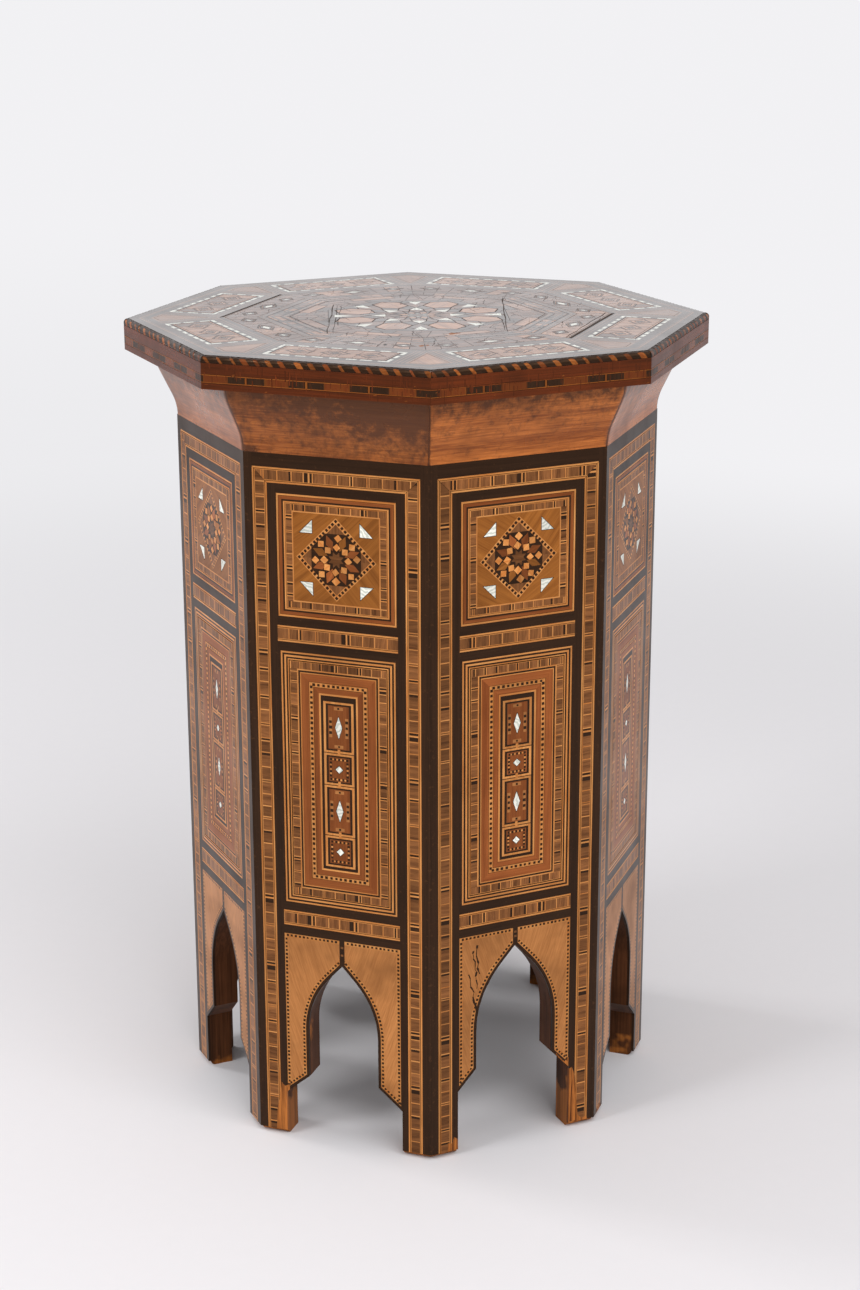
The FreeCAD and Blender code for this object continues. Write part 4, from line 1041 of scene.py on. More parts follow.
def cell_dots(at, up, tall, chance):
    """Small dark and light squares inside one cell."""
    tiles = []
    for sign in (1, -1):
        if tall:
            bar = rect(*sorted((sign * 5.0, sign * 7.4)), at - 7.5, at + 7.5)
            tiles.append(tile(bar, "golden", UPRIGHT, -0.2))
            tiles += dots(at - 6.5, at + 6.5, sign * 6.2, 2.1, 4.3, True, chance)
            bar = rect(-3.4, 3.4, *sorted((at + sign * (up - 3.2), at + sign * (up - 0.8))))
            tiles.append(tile(bar, "golden", 0, -0.1))
            tiles += dots(-0.9, 0.9, at + sign * (up - 2.0), 1.6, 1.8, False, chance)
            continue
        for size, wide, high, wood in ((1.8, 7.6, 2.6, "ebony"), (1.3, 6.1, 4.1, "light")):
            tiles += dots(-wide, wide, at + sign * (up - 1.6), size, 3.0, False, chance, wood)
            tiles += dots(at - up + high, at + up - high, sign * 6.4, size, 3.0, True, chance, wood)
    return tiles


class SIDETABLE_OT_tall_panel_fields(SideTableOperator):
    """Lay the innermost field of every tall panel, with its four framed cells."""

    bl_idname = "side_table.tall_panel_fields"
    bl_label = "Tall Panel Fields"

    def execute(self, context):
        piece, plan, chance = laying("tall_panel_fields", 67)
        half = plan.tall - plan.tall_frame
        for side in SIDES:
            middle, high = plan.tall_middle(side), plan.tall_field(side) / 2
            domain = [rect(-half, half, middle - high, middle + high)] + lozenges(plan, side)
            tiles = []
            for start, end, wood in ((0, 0.7, "red"), (0.7, 2.0, "light"), (2.0, half - 0.01, "ebony")):
                tiles += ring(half, high, middle, start, end, wood, chance)
            heights = plan.cells(side)
            pitch = heights[0] - heights[1]
            tall_half = pitch * 0.515
            small_half = pitch - tall_half - 6.2
            previous = None
            for index, at in enumerate(heights):
                up = tall_half if index % 2 == 0 else small_half
                if previous is not None:
                    tiles.append(tile(rect(-1.0, 1.0, at + up, previous), "light", UPRIGHT))
                previous = at - up
                frame_of = rect(-11.5, 11.5, at - up - 2.8, at + up + 2.8)
                tiles.append(tile(frame_of, "light", UPRIGHT, shade(chance, 0.3)))
                tiles.append(tile(rect(-9.7, 9.7, at - up - 1.3, at + up + 1.3), "ebony", UPRIGHT))
                cell = rect(-8.0, 8.0, at - up, at + up)
                tiles.append(tile(cell, "red", UPRIGHT, shade(chance, 0.3) - 0.2))
                tiles += cell_dots(at, up, index % 2 == 0, chance)
            piece.lay(domain, tiles, on_face(side, plan.face), "ebony")
        piece.finish("ebony")
        return {"FINISHED"}


def dotted_edge(plan, side, path, top, chance):
    """Light strip with dark dots along the spandrel's edges."""
    width, size, pitch = 2.9, 1.7, 3.1
    bar, low = path[0][0], path[-1][1]
    inner = plan.arch(side, plan.field, plan.arch_edging + width)
    tiles = [
        tile(rect(bar, plan.field, top - width, top), "light", 0.0, -0.35),
        tile(rect(plan.field - width, plan.field, low - width, top), "light", UPRIGHT, -0.35),
        tile(path + inner[::-1], "light", 0.3, -0.35),
    ]
    tiles += dots(bar + 1, plan.field - 1, top - width / 2, size, pitch, False, chance)
    tiles += dots(low + 1, top - 3, plan.field - width / 2, size, pitch, True, chance)
    line = plan.arch(side, plan.field, plan.arch_edging + width / 2)
    # Dark squares along the arch's bent line.
    carried = pitch / 2
    for (x0, y0), (x1, y1) in zip(line, line[1:]):
        run = math.dist((x0, y0), (x1, y1))
        turn = math.atan2(y1 - y0, x1 - x0)
        while carried < run:
            part = carried / run
            half = size / 2 * chance.uniform(0.85, 1.12)
            spot = spun(rect(-half, half, -half, half), turn)
            spot = shifted(spot, x0 + (x1 - x0) * part, y0 + (y1 - y0) * part)
            tiles.append(tile(spot, "ebony", turn, shade(chance)))
            carried += pitch
        carried -= run
    return tiles


def bark_lines(top, chance):
    """Dark bark lines in one spandrel."""
    tiles = []
    for x, low, high in ((34, 40, 12), (38, 62, 30), (31, 30, 8)):
        y = top - high
        while y > top - low:
            nx, ny = x + chance.uniform(-1.5, 0.9), y - chance.uniform(2, 4)
            wide = chance.uniform(0.2, 0.9)
            fissure = [(x - wide, y), (nx - wide, ny), (nx + wide, ny), (x + wide, y)]
            tiles.append(tile(fissure, "ebony"))
            x, y = nx, ny
    return tiles


class SIDETABLE_OT_spandrel_veneers(SideTableOperator):
    """Lay the golden spandrels with their dotted edge."""

    bl_idname = "side_table.spandrel_veneers"
    bl_label = "Spandrel Veneers"

    def execute(self, context):
        piece, plan, chance = laying("spandrel_veneers", 71)
        bar = plan.key_bar / 2
        for side in SIDES:
            top = plan.spandrel_top(side)
            arch = plan.arch(side, plan.field, plan.arch_edging)
            path = [(bar, arch[0][1] - bar / math.tan(ARCH_LEAN))] + arch[1:]
            outline = path + [(plan.field, top), (bar, top)]
            for sign in (1, -1):
                own = shade(chance, 0.35) + {1: 0.25, 2: -0.3}.get(side, 0.0)
                tiles = [tile(outline, "golden", 1.25, own)]
                tiles += dotted_edge(plan, side, path, top, chance)
                domain = outline
                if side == 2 and sign < 0:
                    tiles += bark_lines(top, chance)
                if sign < 0:
                    domain = flipped(outline)
                    tiles = [one._replace(corners=flipped(one.corners), grain=-one.grain)
                             for one in tiles]
                piece.lay([domain], tiles + lost_veneer(side), on_face(side, plan.face), "golden")
        piece.finish("fruitwood")
        return {"FINISHED"}


class SIDETABLE_OT_arch_edging(SideTableOperator):
    """Lay the dark line round every arch and the bar over its point."""

    bl_idname = "side_table.arch_edging"
    bl_label = "Arch Edging"

    def execute(self, context):
        piece, plan, chance = laying("arch_edging", 83)
        bar = plan.key_bar / 2
        for side in SIDES:
            place = on_face(side, plan.face)
            arch = plan.arch(side, plan.leg)
            inside = [(x + chance.uniform(0, 0.25), y) for x, y in arch]
            inside[0], inside[-1] = arch[0], arch[-1]
            outside = plan.arch(side, plan.leg, plan.arch_edging)
            loop = inside + outside[::-1]
            whole = loop + flipped(outside[::-1])[1:] + flipped(inside)[:-1]
            tiles = [tile(loop, "ebony", 1.2, shade(chance))] + lost_veneer(side)
            piece.lay([whole], tiles, place, "ebony")
            point = outside[0][1]
            foot = point - bar / math.tan(ARCH_LEAN)
            top = plan.spandrel_top(side)
            key = [(0, point), (bar, foot), (bar, top), (-bar, top), (-bar, foot)]
            flecks = []
            for number in range(2):
                at = point + (top - point) * (number + 0.9) / 2.8
                flecks.append(tile(rect(-1.0, 1.0, at - 0.8, at + 0.8), "brown", 0, -0.5))
            piece.lay([key], flecks, place, "ebony")
        piece.finish("ebony")
        return {"FINISHED"}


class SIDETABLE_OT_side_pearls(SideTableOperator):
    """Lay the mother-of-pearl of the sides."""

    bl_idname = "side_table.side_pearls"
    bl_label = "Side Pearls"

    def execute(self, context):
        piece, plan, chance = laying("side_pearls", 97)
        for side in SIDES:
            for corners in pearl_corners(plan) + lozenges(plan, side):
                clean = tile(grown(corners, -0.35), "pearl", chance.uniform(0, 3), shade(chance, 0.35))
                piece.lay([corners], [clean], on_face(side, plan.face), "joint")
        piece.finish("mother_of_pearl")
        return {"FINISHED"}


def cove_profile(plan):
    """Apothem and height round the cornice's section, from its foot inside out and up."""
    lean = math.atan(1.5 * plan.cove_flare / plan.cove_height)
    radius = 0.5 * plan.cove_flare / (1 / math.cos(lean) - 1) / 2
    crown = plan.face + plan.cove_flare
    steps = 6
    lower, upper = [], []
    for step in range(steps + 1):
        angle = lean * step / steps
        out, up = radius * (1 - math.cos(angle)), radius * math.sin(angle)
        lower.append((plan.face + out, plan.body_top + up))
        upper.append((crown - out, plan.cornice_top - up))
    return lower + upper[::-1] + [(plan.inner, plan.cornice_top), (plan.inner, plan.body_top)]


class SIDETABLE_OT_cornice(SideTableOperator):
    """Shape the coved cornice, with its mitres a little open."""

    bl_idname = "side_table.cornice"
    bl_label = "Cornice"

    def execute(self, context):
        piece, plan, chance = laying("cornice", 101)
        profile = cove_profile(plan)
        run = [0.0]
        for here, there in zip(profile, profile[1:]):
            run.append(run[-1] + math.dist(here, there))
        columns = (-1, -0.985, -0.95, -0.8, -0.5, 0, 0.5, 0.8, 0.95, 0.985, 1)
        wide, rows = len(columns), len(profile)
        for side in SIDES:
            turn = Matrix.Rotation((side - 1) * TURN, 3, "Z")
            start = len(piece.points)
            drift = chance.uniform(0, LOG)
            # Painted light by side: boards on the right are painted lighter and those on the left
            # darker, as light and its reflections fall on them. Side 1's staining and painted shade
            # reach lower, side 2's start higher.
            tone = {1: -0.2, 2: 0.35, 3: 0.3, 8: -0.25}.get(side, shade(chance, 0.3))
            stain_and_shade_from = {1: -0.2, 2: 0.4}.get(side, 0.3)
            for apothem, height in profile:
                outside = apothem > plan.face - 1
                level = (height - plan.body_top) / plan.cove_height
                for part in columns:
                    across = part * (apothem * TAN - (0.3 if outside else 0.0))
                    sink = 0.5 if abs(part) == 1 and outside else 0.0
                    piece.points.append(turn @ Vector((across, -(apothem - sink), height)))
                    # Darker under the top: partly real staining, partly painted shadow of the top's
                    # overhang. Dirt lies dark in the open mitres.
                    stain_and_shade = max(0.0, (level - stain_and_shade_from) * 2.2)
                    in_mitre = {1: 2.2, 0.985: 0.6}.get(abs(part), 0.0)
                    if side == 1:
                        stain_and_shade *= 0.75 + 0.35 * part
                        if part < -0.9 and level < 0.1:
                            in_mitre = 3.0
                    piece.wear.append(max(stain_and_shade, in_mitre))
            for row in range(rows):
                after = (row + 1) % rows
                for column in range(wide - 1):
                    here, there = start + row * wide + column, start + after * wide + column
                    numbers = [here, here + 1, there + 1, there]
                    fibres = []
                    for number, at in zip(numbers, (row, row, after, after)):
                        spot = turn.transposed() @ piece.points[number]
                        fibres.append((spot.x + drift, run[at] + drift))
                    piece.face(numbers, "cornice", fibres, tone)
            for edge in (0, wide - 1):
                numbers = [start + row * wide + edge for row in range(rows)]
                piece.face(numbers if edge else numbers[::-1], "cornice", [(0.0, 0.0)] * rows, -0.5)
        piece.finish("cornice_wood", [f"cornice_board_{side}" for side in SIDES], smooth=True)
        return {"FINISHED"}


def section_run(piece, side, profile, marks, carved=0.0):
    """Lay a moulding along one side: a closed section cut at the marks, mitred at both ends.

    profile holds apothem, height and how far a slanting cut leans there. marks holds where each
    stretch starts, its wood and its shade. carved is how deep the section sinks at every other
    mark, as between the strands of a rope.
    """
    back = Matrix.Rotation((side - 1) * TURN, 3, "Z").transposed()
    rows = len(profile)
    start = len(piece.points)
    core_apothem, core_height = profile[0][0], profile[1][1]
    for number, (at, _, _) in enumerate(marks):
        for apothem, height, slant in profile:
            reach = math.hypot(apothem - core_apothem, height - core_height)
            sunk = 1 - carved / reach if number % 2 == 0 and reach > 1.0 else 1.0
            face = core_apothem + (apothem - core_apothem) * sunk
            height = core_height + (height - core_height) * sunk
            piece.points.append(on_face(side, face)(at + slant, height, 0.0))
            piece.wear.append(0.0)
    for column, (_, wood, tone) in enumerate(marks[:-1]):
        drift = piece.chance.uniform(0, LOG)
        here, there = start + column * rows, start + (column + 1) * rows
        for row in range(rows):
            after = (row + 1) % rows
            numbers = [here + row, there + row, there + after, here + after]
            spots = [back @ piece.points[number] for number in numbers]
            if (spots[0] - spots[1]).length < 1e-6 and (spots[2] - spots[3]).length < 1e-6:
                continue
            fibres = [(spot.x + drift, row * 2.0 + spot.z) for spot in spots]
            crown = carved and row >= rows - 3
            piece.face(numbers, "ebony" if crown else wood, fibres, 0.0 if crown else tone)
    for column in (0, len(marks) - 1):
        numbers = [start + column * rows + row for row in range(rows)]
        wood = marks[min(column, len(marks) - 2)][1]
        piece.face(numbers if column else numbers[::-1], wood, [(0.0, 0.0)] * rows, 0.0)


# Blocks and dividers in the edge of the top: length, wood and shade.
EDGE_BLOCKS = ((12, "ebony", 0.5), (0.5, "joint", 0.0), (1.5, "edge_line", -0.9), (0.5, "joint", 0.0),
               (12, "ebony", 0.6), (0.7, "edge_line", -1.2), (17, "edge_brown", -0.2),
               (0.7, "edge_line", -1.2))


def edge_inlay(wide, low, high, chance):
    """Two thin lines with dark and reddish blocks between them, and worn places."""
    first_line, second_line = low + 4.6, low + 9.7
    tiles = [tile(rect(-wide, wide, low, high), "edge", 0.0, shade(chance, 0.3))]
    for height in (first_line, second_line):
        tiles.append(tile(rect(-wide, wide, height - 0.3, height + 0.8), "joint"))
        tiles.append(tile(rect(-wide, wide, height, height + 0.5), "edge_line", 0.0, 0.1))
    foot, head = first_line + 0.6, second_line - 0.1
    at = -wide - chance.uniform(0, 30)
    while at < wide:
        for size, wood, tone in EDGE_BLOCKS:
            after = at + size * chance.uniform(0.92, 1.08)
            first, last = max(-wide, at), min(wide, after)
            if last - first > 0.2:
                block = rect(first, last, foot, head)
                tiles.append(tile(block, wood, UPRIGHT, tone + shade(chance, 0.3)))
            at = after
    scratches, chips = 110, 9
    for _ in range(scratches):
        at, height = chance.uniform(-wide, wide), chance.uniform(low, high - 3)
        size = chance.uniform(0.08, 0.42)
        scratch = rect(at - size, at + size, height, height + chance.uniform(2, 9))
        tiles.append(tile(scratch, "edge", UPRIGHT, chance.uniform(-1.0, 0.9)))
    for _ in range(chips):
        at, height = chance.uniform(-wide, wide), chance.uniform(low, high - 2)
        size = chance.uniform(0.5, 1.8)
        chip = [(at - size, height), (at + size * 0.4, height + 0.2),
                (at + size, height + size * 0.4), (at, height + 0.7)]
        tiles.append(tile(chip, "edge_line", 0.0, chance.uniform(-0.4, 0.5)))
    return tiles


class SIDETABLE_OT_top_edge(SideTableOperator):
    """Shape the top's edge boards with the lines of inlay in their faces."""

    bl_idname = "side_table.top_edge"
    bl_label = "Top Edge"

    def execute(self, context):
        piece = Laying("top_edge", 113)
        plan = piece.plan
        low, high = plan.cornice_top, plan.table_height - plan.nosing_height
        under = plan.table_height - plan.veneer
        planks = plan.top_half - plan.lipping
        wide = plan.top_half * TAN
        inlaid = 1.0  # depth of the inlaid face
        face = plan.top_half - inlaid
        profile = [(face, low, 0), (face, high, 0), (plan.sheet_half, high, 0),
                   (plan.sheet_half, under, 0), (planks, under, 0), (planks, low, 0)]
        for side in SIDES:
            tiles = edge_inlay(wide, low, high, piece.chance)
            piece.lay([rect(-wide, wide, low, high)], tiles, on_face(side, plan.top_half), "edge",
                      depth=inlaid)
            section_run(piece, side, profile, [(-wide, "edge", 0.0), (wide, "edge", 0.0)])
        piece.finish("edge_wood", [f"edge_board_{side}" for side in SIDES])
        return {"FINISHED"}


class SIDETABLE_OT_rope_nosing(SideTableOperator):
    """Shape the striped nosing round the top."""

    bl_idname = "side_table.rope_nosing"
    bl_label = "Rope Nosing"

    def execute(self, context):
        piece, plan, chance = laying("rope_nosing", 127)
        low, high = plan.table_height - plan.nosing_height, plan.table_height
        inner, outer = plan.sheet_half, plan.top_half
        radius = 2.9
        profile = [(inner, high - 0.1, -2.6), (inner, low, -2.6), (outer - 0.2, low, 1.8),
                   (outer, low + 0.3, 1.7), (outer, high - radius, 0.6)]
        steps = 5
        for step in range(1, steps + 1):
            angle = UPRIGHT * step / steps
            profile.append((outer - radius + radius * math.cos(angle),
                            high - 0.1 - radius + radius * math.sin(angle), 0.6 - 3.0 * step / steps))
        end = outer * TAN + 5
        for side in SIDES:
            marks = []
            at, dark = -end, True
            while at < end:
                wood = "ebony" if dark else chance.choice(("edge_line", "edge_line", "edge_brown"))
                tone = chance.uniform(-0.8, 0.0) if dark else chance.uniform(-0.9, 0.7)
                size = plan.stripe * (chance.uniform(0.95, 1.7) if dark else chance.uniform(0.4, 0.95))
                marks += [(at, wood, tone), (at + size * chance.uniform(0.4, 0.6), wood, tone)]
                at, dark = at + size, not dark
            marks.append((at, "ebony", 0.0))
            section_run(piece, side, profile, marks, carved=0.5)
        piece.finish("striped_wood", smooth=True)
        return {"FINISHED"}


def octagon(apothem, turn=0.0):
    """Corners of an octagon whose sides face the axes."""
    reach = apothem / COS
    angles = [HALF_TURN + turn + angle for angle in TURNS]
    return [(reach * math.cos(angle), reach * math.sin(angle)) for angle in angles]


def octagon_band(outer, inner, wood, chance, tone=0.0, spread=0.2):
    """Octagonal band of eight mitred strips."""
    corners = [(-outer * TAN, -outer), (outer * TAN, -outer),
               (inner * TAN, -inner), (-inner * TAN, -inner)]
    return [tile(spun(corners, angle), wood, angle, tone + shade(chance, spread)) for angle in TURNS]


def octagon_lines(edge, lines, chance):
    """Octagonal bands, each from one inset to another, with their wood and shade."""
    tiles = []
    for start, end, wood, tone in lines:
        tiles += octagon_band(edge - start, edge - end, wood, chance, tone)
    return tiles


def side_pieces(out, near, angle, woods, lean, spread, gap, chance):
    """Small pieces side by side in one side of an octagonal band."""
    tiles = []
    count = 9
    for index in range(count):
        left, right = 2 * index / count - 1, 2 * (index + 1) / count - 1
        corners = [(left * out * TAN, -out), (right * out * TAN, -out),
                   (right * near * TAN, -near), (left * near * TAN, -near)]
        wood = chance.choice(woods)
        grain = angle + chance.uniform(-lean, lean)
        tiles += set_in(spun(corners, angle), wood, grain, shade(chance, spread), gap)
    return tiles


def cartouche(plan):
    """Corners of the front cartouche of the top."""
    half = plan.cartouche_length / 2
    return rect(-half, half, -plan.cartouche_out, -plan.cartouche_in)


def corner_piece(plan):
    """Corners of the kite at the top's corner on +X."""
    reach = plan.cartouche_length / 2 + plan.corner_strap
    edge = plan.cartouche_out * COS + reach * SIN
    wide = plan.cartouche_out * SIN - reach * COS
    return [(reach / SIN, 0), (edge, -wide), (plan.cartouche_out / COS, 0), (edge, wide)]


def top_pearls(plan):
    """Corners of the pearl lozenges in the top's ring and of the triangles round its star."""
    ring_pearl = kite(0, -(plan.star_half - plan.ring_width / 2), 6.0, 2.5)
    found = [spun(ring_pearl, angle) for angle in TURNS]
    for angle in TURNS:
        for base, point in ((61.5, 48), (24, 35)):
            found.append(spun([(base, -5.0), (base, 5.0), (point, 0)], HALF_TURN + angle))
    return found


class SIDETABLE_OT_top_ground(SideTableOperator):
    """Lay the dark ground of the top with its strap lines."""

    bl_idname = "side_table.top_ground"
    bl_label = "Top Ground"

    def execute(self, context):
        piece, plan, chance = laying("top_ground", 131)
        domain = [octagon(plan.sheet_half), octagon(plan.star_half)]
        tiles = octagon_band(plan.sheet_half, plan.star_half - 1, "top_dark", chance, 0.3, 0.5)
        border = ((7.0, 7.9, "top_line", 0.4), (8.9, 9.3, "top_line", 0.0))
        tiles += octagon_lines(plan.sheet_half, border, chance)
        half = plan.cartouche_length / 2
        for angle in TURNS:
            domain.append(spun(cartouche(plan), angle))
            domain.append(spun(corner_piece(plan), angle + HALF_TURN))
            for sign in (1, -1):
                for at, wide in ((2.6, 0.7), (5.2, 1.1), (8.6, 0.7)):
                    across = sorted((sign * (half + at), sign * (half + at + wide)))
                    line = rect(*across, -plan.cartouche_out - 1, -plan.star_half - 1)
                    tiles.append(tile(spun(line, angle), "top_line", angle + UPRIGHT, shade(chance)))
            for start, end in ((2.4, 3.0), (5.2, 6.0)):
                line = rect(-half - 9, half + 9, -plan.cartouche_in + start, -plan.cartouche_in + end)
                tiles.append(tile(spun(line, angle), "top_line", angle, shade(chance, 0.4)))
        piece.lay(domain, tiles, on_top(plan), "top_dark")
        piece.finish("ebony")
        return {"FINISHED"}


def pearl_dashes(start, end, low, high, upright, chance):
    """Row of pearl dashes with dark squares between them."""
    square, pitch = 3, 12.2
    number = max(2, round((end - start + square) / pitch))
    step = (end - start + square) / number
    tiles = []
    for index in range(number):
        first = start + index * step + (chance.uniform(-0.4, 1.6) if index else 0)
        last = start + (index + 1) * step - square
        last -= chance.uniform(-0.3, 1.4) if index < number - 1 else 0
        slip = chance.uniform(-0.25, 0.25)
        corners = along_run(first, last, low + slip, high + slip, upright)
        middle = ((first + last) / 2, (low + high) / 2)
        corners = spun(corners, chance.uniform(-0.05, 0.05), middle[::-1] if upright else middle)
        tiles.append(tile(corners, "pearl", chance.uniform(0, 3), chance.uniform(-0.35, 0.2)))
    return tiles


def pale_field(half, low, high, chance):
    """Pale field with a brown line round it and a chain of lozenges along its middle."""
    tiles = [tile(rect(-half, half, low, high), "top_joint"),
             tile(rect(-half + 0.7, half - 0.7, low + 0.7, high - 0.7), "top_pale", 0.0, 0.1)]
    inset, pieces = 2.4, 7
    left = -half + inset
    for _ in range(pieces):
        right = left + (2 * half - 2 * inset) / pieces
        wood = chance.choice(("top_pale", "top_brown", "top_pale"))
        lean = chance.uniform(-2, 2)
        corners = [(left, low + inset), (right, low + inset), (right + lean, high - inset),
                   (left + lean, high - inset)]
        tiles += set_in(corners, wood, UPRIGHT + chance.uniform(-0.5, 0.5), shade(chance, 0.35))
        left = right
    middle = (low + high) / 2
    for at in (-26, 0, 26):
        for wide, up, wood, tone in ((11, 8.5, "top_brown", -0.2), (9.0, 7.0, "top_pale", 0.0),
                                     (5, 4, "top_brown", 0.1), (2.2, 1.8, "top_dark", 0.2)):
            grain = chance.uniform(-0.6, 0.6)
            tiles += set_in(kite(at, middle, wide, up), wood, grain, tone + shade(chance, 0.25))
    return tiles


class SIDETABLE_OT_top_cartouches(SideTableOperator):
    """Lay the eight cartouches of the top with their frames of pearl dashes."""

    bl_idname = "side_table.top_cartouches"
    bl_label = "Top Cartouches"

    def execute(self, context):
        piece, plan, chance = laying("top_cartouches", 139)
        half = plan.cartouche_length / 2
        out, near = -plan.cartouche_out, -plan.cartouche_in
        margin, width = 0.6, 2.5
        for angle in TURNS:
            tiles = [tile(cartouche(plan), "top_dark", 0.0, -0.3)]
            for level in (out + margin, near - width - margin):
                tiles += pearl_dashes(-half + margin, half - margin, level, level + width, False,
                                      chance)
            for at in (-half + margin, half - width - margin):
                tiles += pearl_dashes(out + 3.6, near - 3.6, at, at + width, True, chance)
            tiles += pale_field(half - 4.2, out + 4.2, near - 4.2, chance)
            turned = [one._replace(corners=spun(one.corners, angle), grain=one.grain + angle)
                      for one in tiles]
            piece.lay([spun(cartouche(plan), angle)], turned, on_top(plan), "top_dark")
        piece.finish("top_field_wood")
        return {"FINISHED"}


class SIDETABLE_OT_top_corner_pieces(SideTableOperator):
    """Lay the pale kites at the eight corners of the top."""

    bl_idname = "side_table.top_corner_pieces"
    bl_label = "Top Corner Pieces"

    def execute(self, context):
        piece, plan, chance = laying("top_corner_pieces", 149)
        corners = corner_piece(plan)
        middle = sum(x for x, _ in corners) / 4
        inner = [(middle + (x - middle) * 0.84, y * 0.8) for x, y in corners]
        for number in range(8):
            angle = HALF_TURN + number * TURN
            outline = spun(corners, angle)
            # One of them is paler.
            tone = 0.5 if number == 6 else -0.7 + shade(chance, 0.3)
            tiles = [tile(outline, "top_line", angle, -0.2)]
            tiles += set_in(spun(inner, angle), "top_pale", angle + chance.uniform(-0.4, 0.4), tone)
            piece.lay([outline], tiles, on_top(plan), "top_brown")
        piece.finish("fruitwood")
        return {"FINISHED"}


# Lines of the top's ring and of the field inside it: insets, wood and shade.
RING_LINES = ((2.6, 3.4, "top_line", 0.3), (3.4, 3.8, "top_joint", 0.0),
              (25.6, 26.0, "top_joint", 0.0), (26.0, 26.8, "top_line", 0.2),
              (26.8, 28.8, "top_dark", 0.3), (28.8, 29.6, "top_line", 0.0),
              (29.6, 31.6, "top_dark", 0.3), (31.6, 32.1, "top_joint", 0.0))
FIELD_LINES = ((2.0, 4.2, "top_dark", 0.3), (4.2, 4.8, "top_line", 0.2),
               (9.0, 9.4, "top_joint", 0.0), (9.4, 11.4, "top_dark", 0.4),
               (11.4, 12.0, "top_line", 0.2), (15.2, 16.0, "top_joint", 0.0))
# Long cracks: start, end and width.
CRACKS = [((-77, 24), (-34, -94), 0.45), ((-73, 22), (-30, -92), 0.3), ((-69, 20), (-40, -60), 0.3),
          ((34, 96), (84, -44), 0.5), ((64, 4), (80, -38), 0.35), ((-137, 55), (-134, -57), 0.5),
          ((-141, 50), (-139, -52), 0.3), ((128, 56), (130, -54), 0.45), ((132, 30), (134, -48), 0.25),
          ((-20, 118), (-60, 128), 0.3), ((-112, -96), (-84, -134), 0.3)]


def ring_tiles(plan, chance):
    """Outer ring: dark edge, small brown pieces, pearls in dark settings."""
    line = octagon_band(plan.star_half, plan.star_half - 2.6, "top_joint", chance, -0.4)
    # The line has opened on two sides only; elsewhere it is as grey as the straps.
    tiles = [one if number in (2, 6) else one._replace(wood="top_dark")
             for number, one in enumerate(line)]
    tiles += octagon_lines(plan.star_half, RING_LINES, chance)
    out, near = plan.star_half - 3.8, plan.ring_in + 4.4
    middle = (out + near) / 2
    for angle in TURNS:
        woods = ("top_brown", "top_pale", "top_brown")
        tiles += side_pieces(out, near, angle, woods, 0.6, 0.6, 0.45, chance)
        for at, wide, up in ((0, 13, 6.5), (-34, 9, 6), (34, 9, 6)):
            for part, wood, tone in ((1.0, "top_dark", 0.3), (0.84, "top_pale", 0.0),
                                     (0.68, "top_dark", 0.0)):
                spot = spun(kite(at, -middle, wide * part, up * part), angle)
                tiles += set_in(spot, wood, angle, tone + shade(chance, 0.2), 0.4)
            if at:
                tiles.append(tile(spun(kite(at, -middle, 2.6, 1.6), angle), "pearl", angle, -0.4))
    return tiles


def field_tiles(plan, chance):
    """Field between the ring and the star: nested straps and a pale bar on every side."""
    near, field, inner = plan.ring_in - 2.1, plan.ring_in - 16, plan.star_reach
    tiles = octagon_band(near, inner - 4, "top_brown", chance, 0.1, 0.3)
    woods = ("top_brown", "top_brown", "top_pale", "top_dark")
    for angle in TURNS:
        tiles += side_pieces(near, field, angle, woods, 0.3, 0.5, 0.4, chance)
    tiles += octagon_lines(near, FIELD_LINES, chance)
    wing = [(field * TAN - 3, -field + 1.5), (field * TAN - 1, -field + 3),
            (inner * TAN + 6, -inner - 4), (inner * TAN - 6, -inner - 3)]
    pale_bar = rect(-17, 17, -field + 1.2, -field + 9.5)
    dark_bar = rect(-9, 9, -field + 11, -inner - 4)
    for angle in TURNS:
        for corners in (wing, flipped(wing)):
            tiles += set_in(spun(corners, angle), "top_brown", angle, 0.1 + shade(chance))
        tiles += set_in(spun(pale_bar, angle), "top_pale", angle, -0.1 + shade(chance, 0.3), 0.5)
        tiles += set_in(spun(dark_bar, angle), "top_dark", angle, 0.4)
    return tiles


def star_tiles(plan, chance):
    """Star: dark ground, pale petals on the faces' lines, pointed pieces between."""
    tiles = set_in(octagon(plan.star_reach + 3, HALF_TURN), "top_dark", 0.0, 0.4)
    petal = [(50 + 15.5 * math.cos(k * math.pi / 3), 12.6 * math.sin(k * math.pi / 3))
             for k in range(6)]
    for angle in TURNS:
        between = angle + HALF_TURN
        for at, reach, wide, tone in ((50, 14, 10.0, 0.2), (23.5, 11.5, 6.5, 0.5)):
            spot = spun(kite(at, 0, reach, wide), between)
            tiles += set_in(spot, "top_brown", between, tone + shade(chance, 0.4), 0.7)
        tiles += set_in(spun(petal, angle), "top_pale", angle, 0.5 + shade(chance, 0.3), 1.0)
        spot = spun(kite(25, 0, 8, 4.6), angle)
        tiles += set_in(spot, "top_brown", angle, 0.2 + shade(chance, 0.4), 0.7)
    for angle in TURNS:
        spot = spun([(7, 0), (11, -3.0), (15.5, 0), (11, 3.0)], angle)
        tiles += set_in(spot, "top_pale", angle, 0.3 + shade(chance, 0.4))
        spot = spun([(4.4, 0), (6.5, -1.2), (8.6, 0), (6.5, 1.2)], angle + HALF_TURN)
        tiles.append(tile(spot, "pearl", angle, -1.2))
    tiles.append(tile(octagon(3.0), "top_brown", 0.0, -0.5))
    return tiles


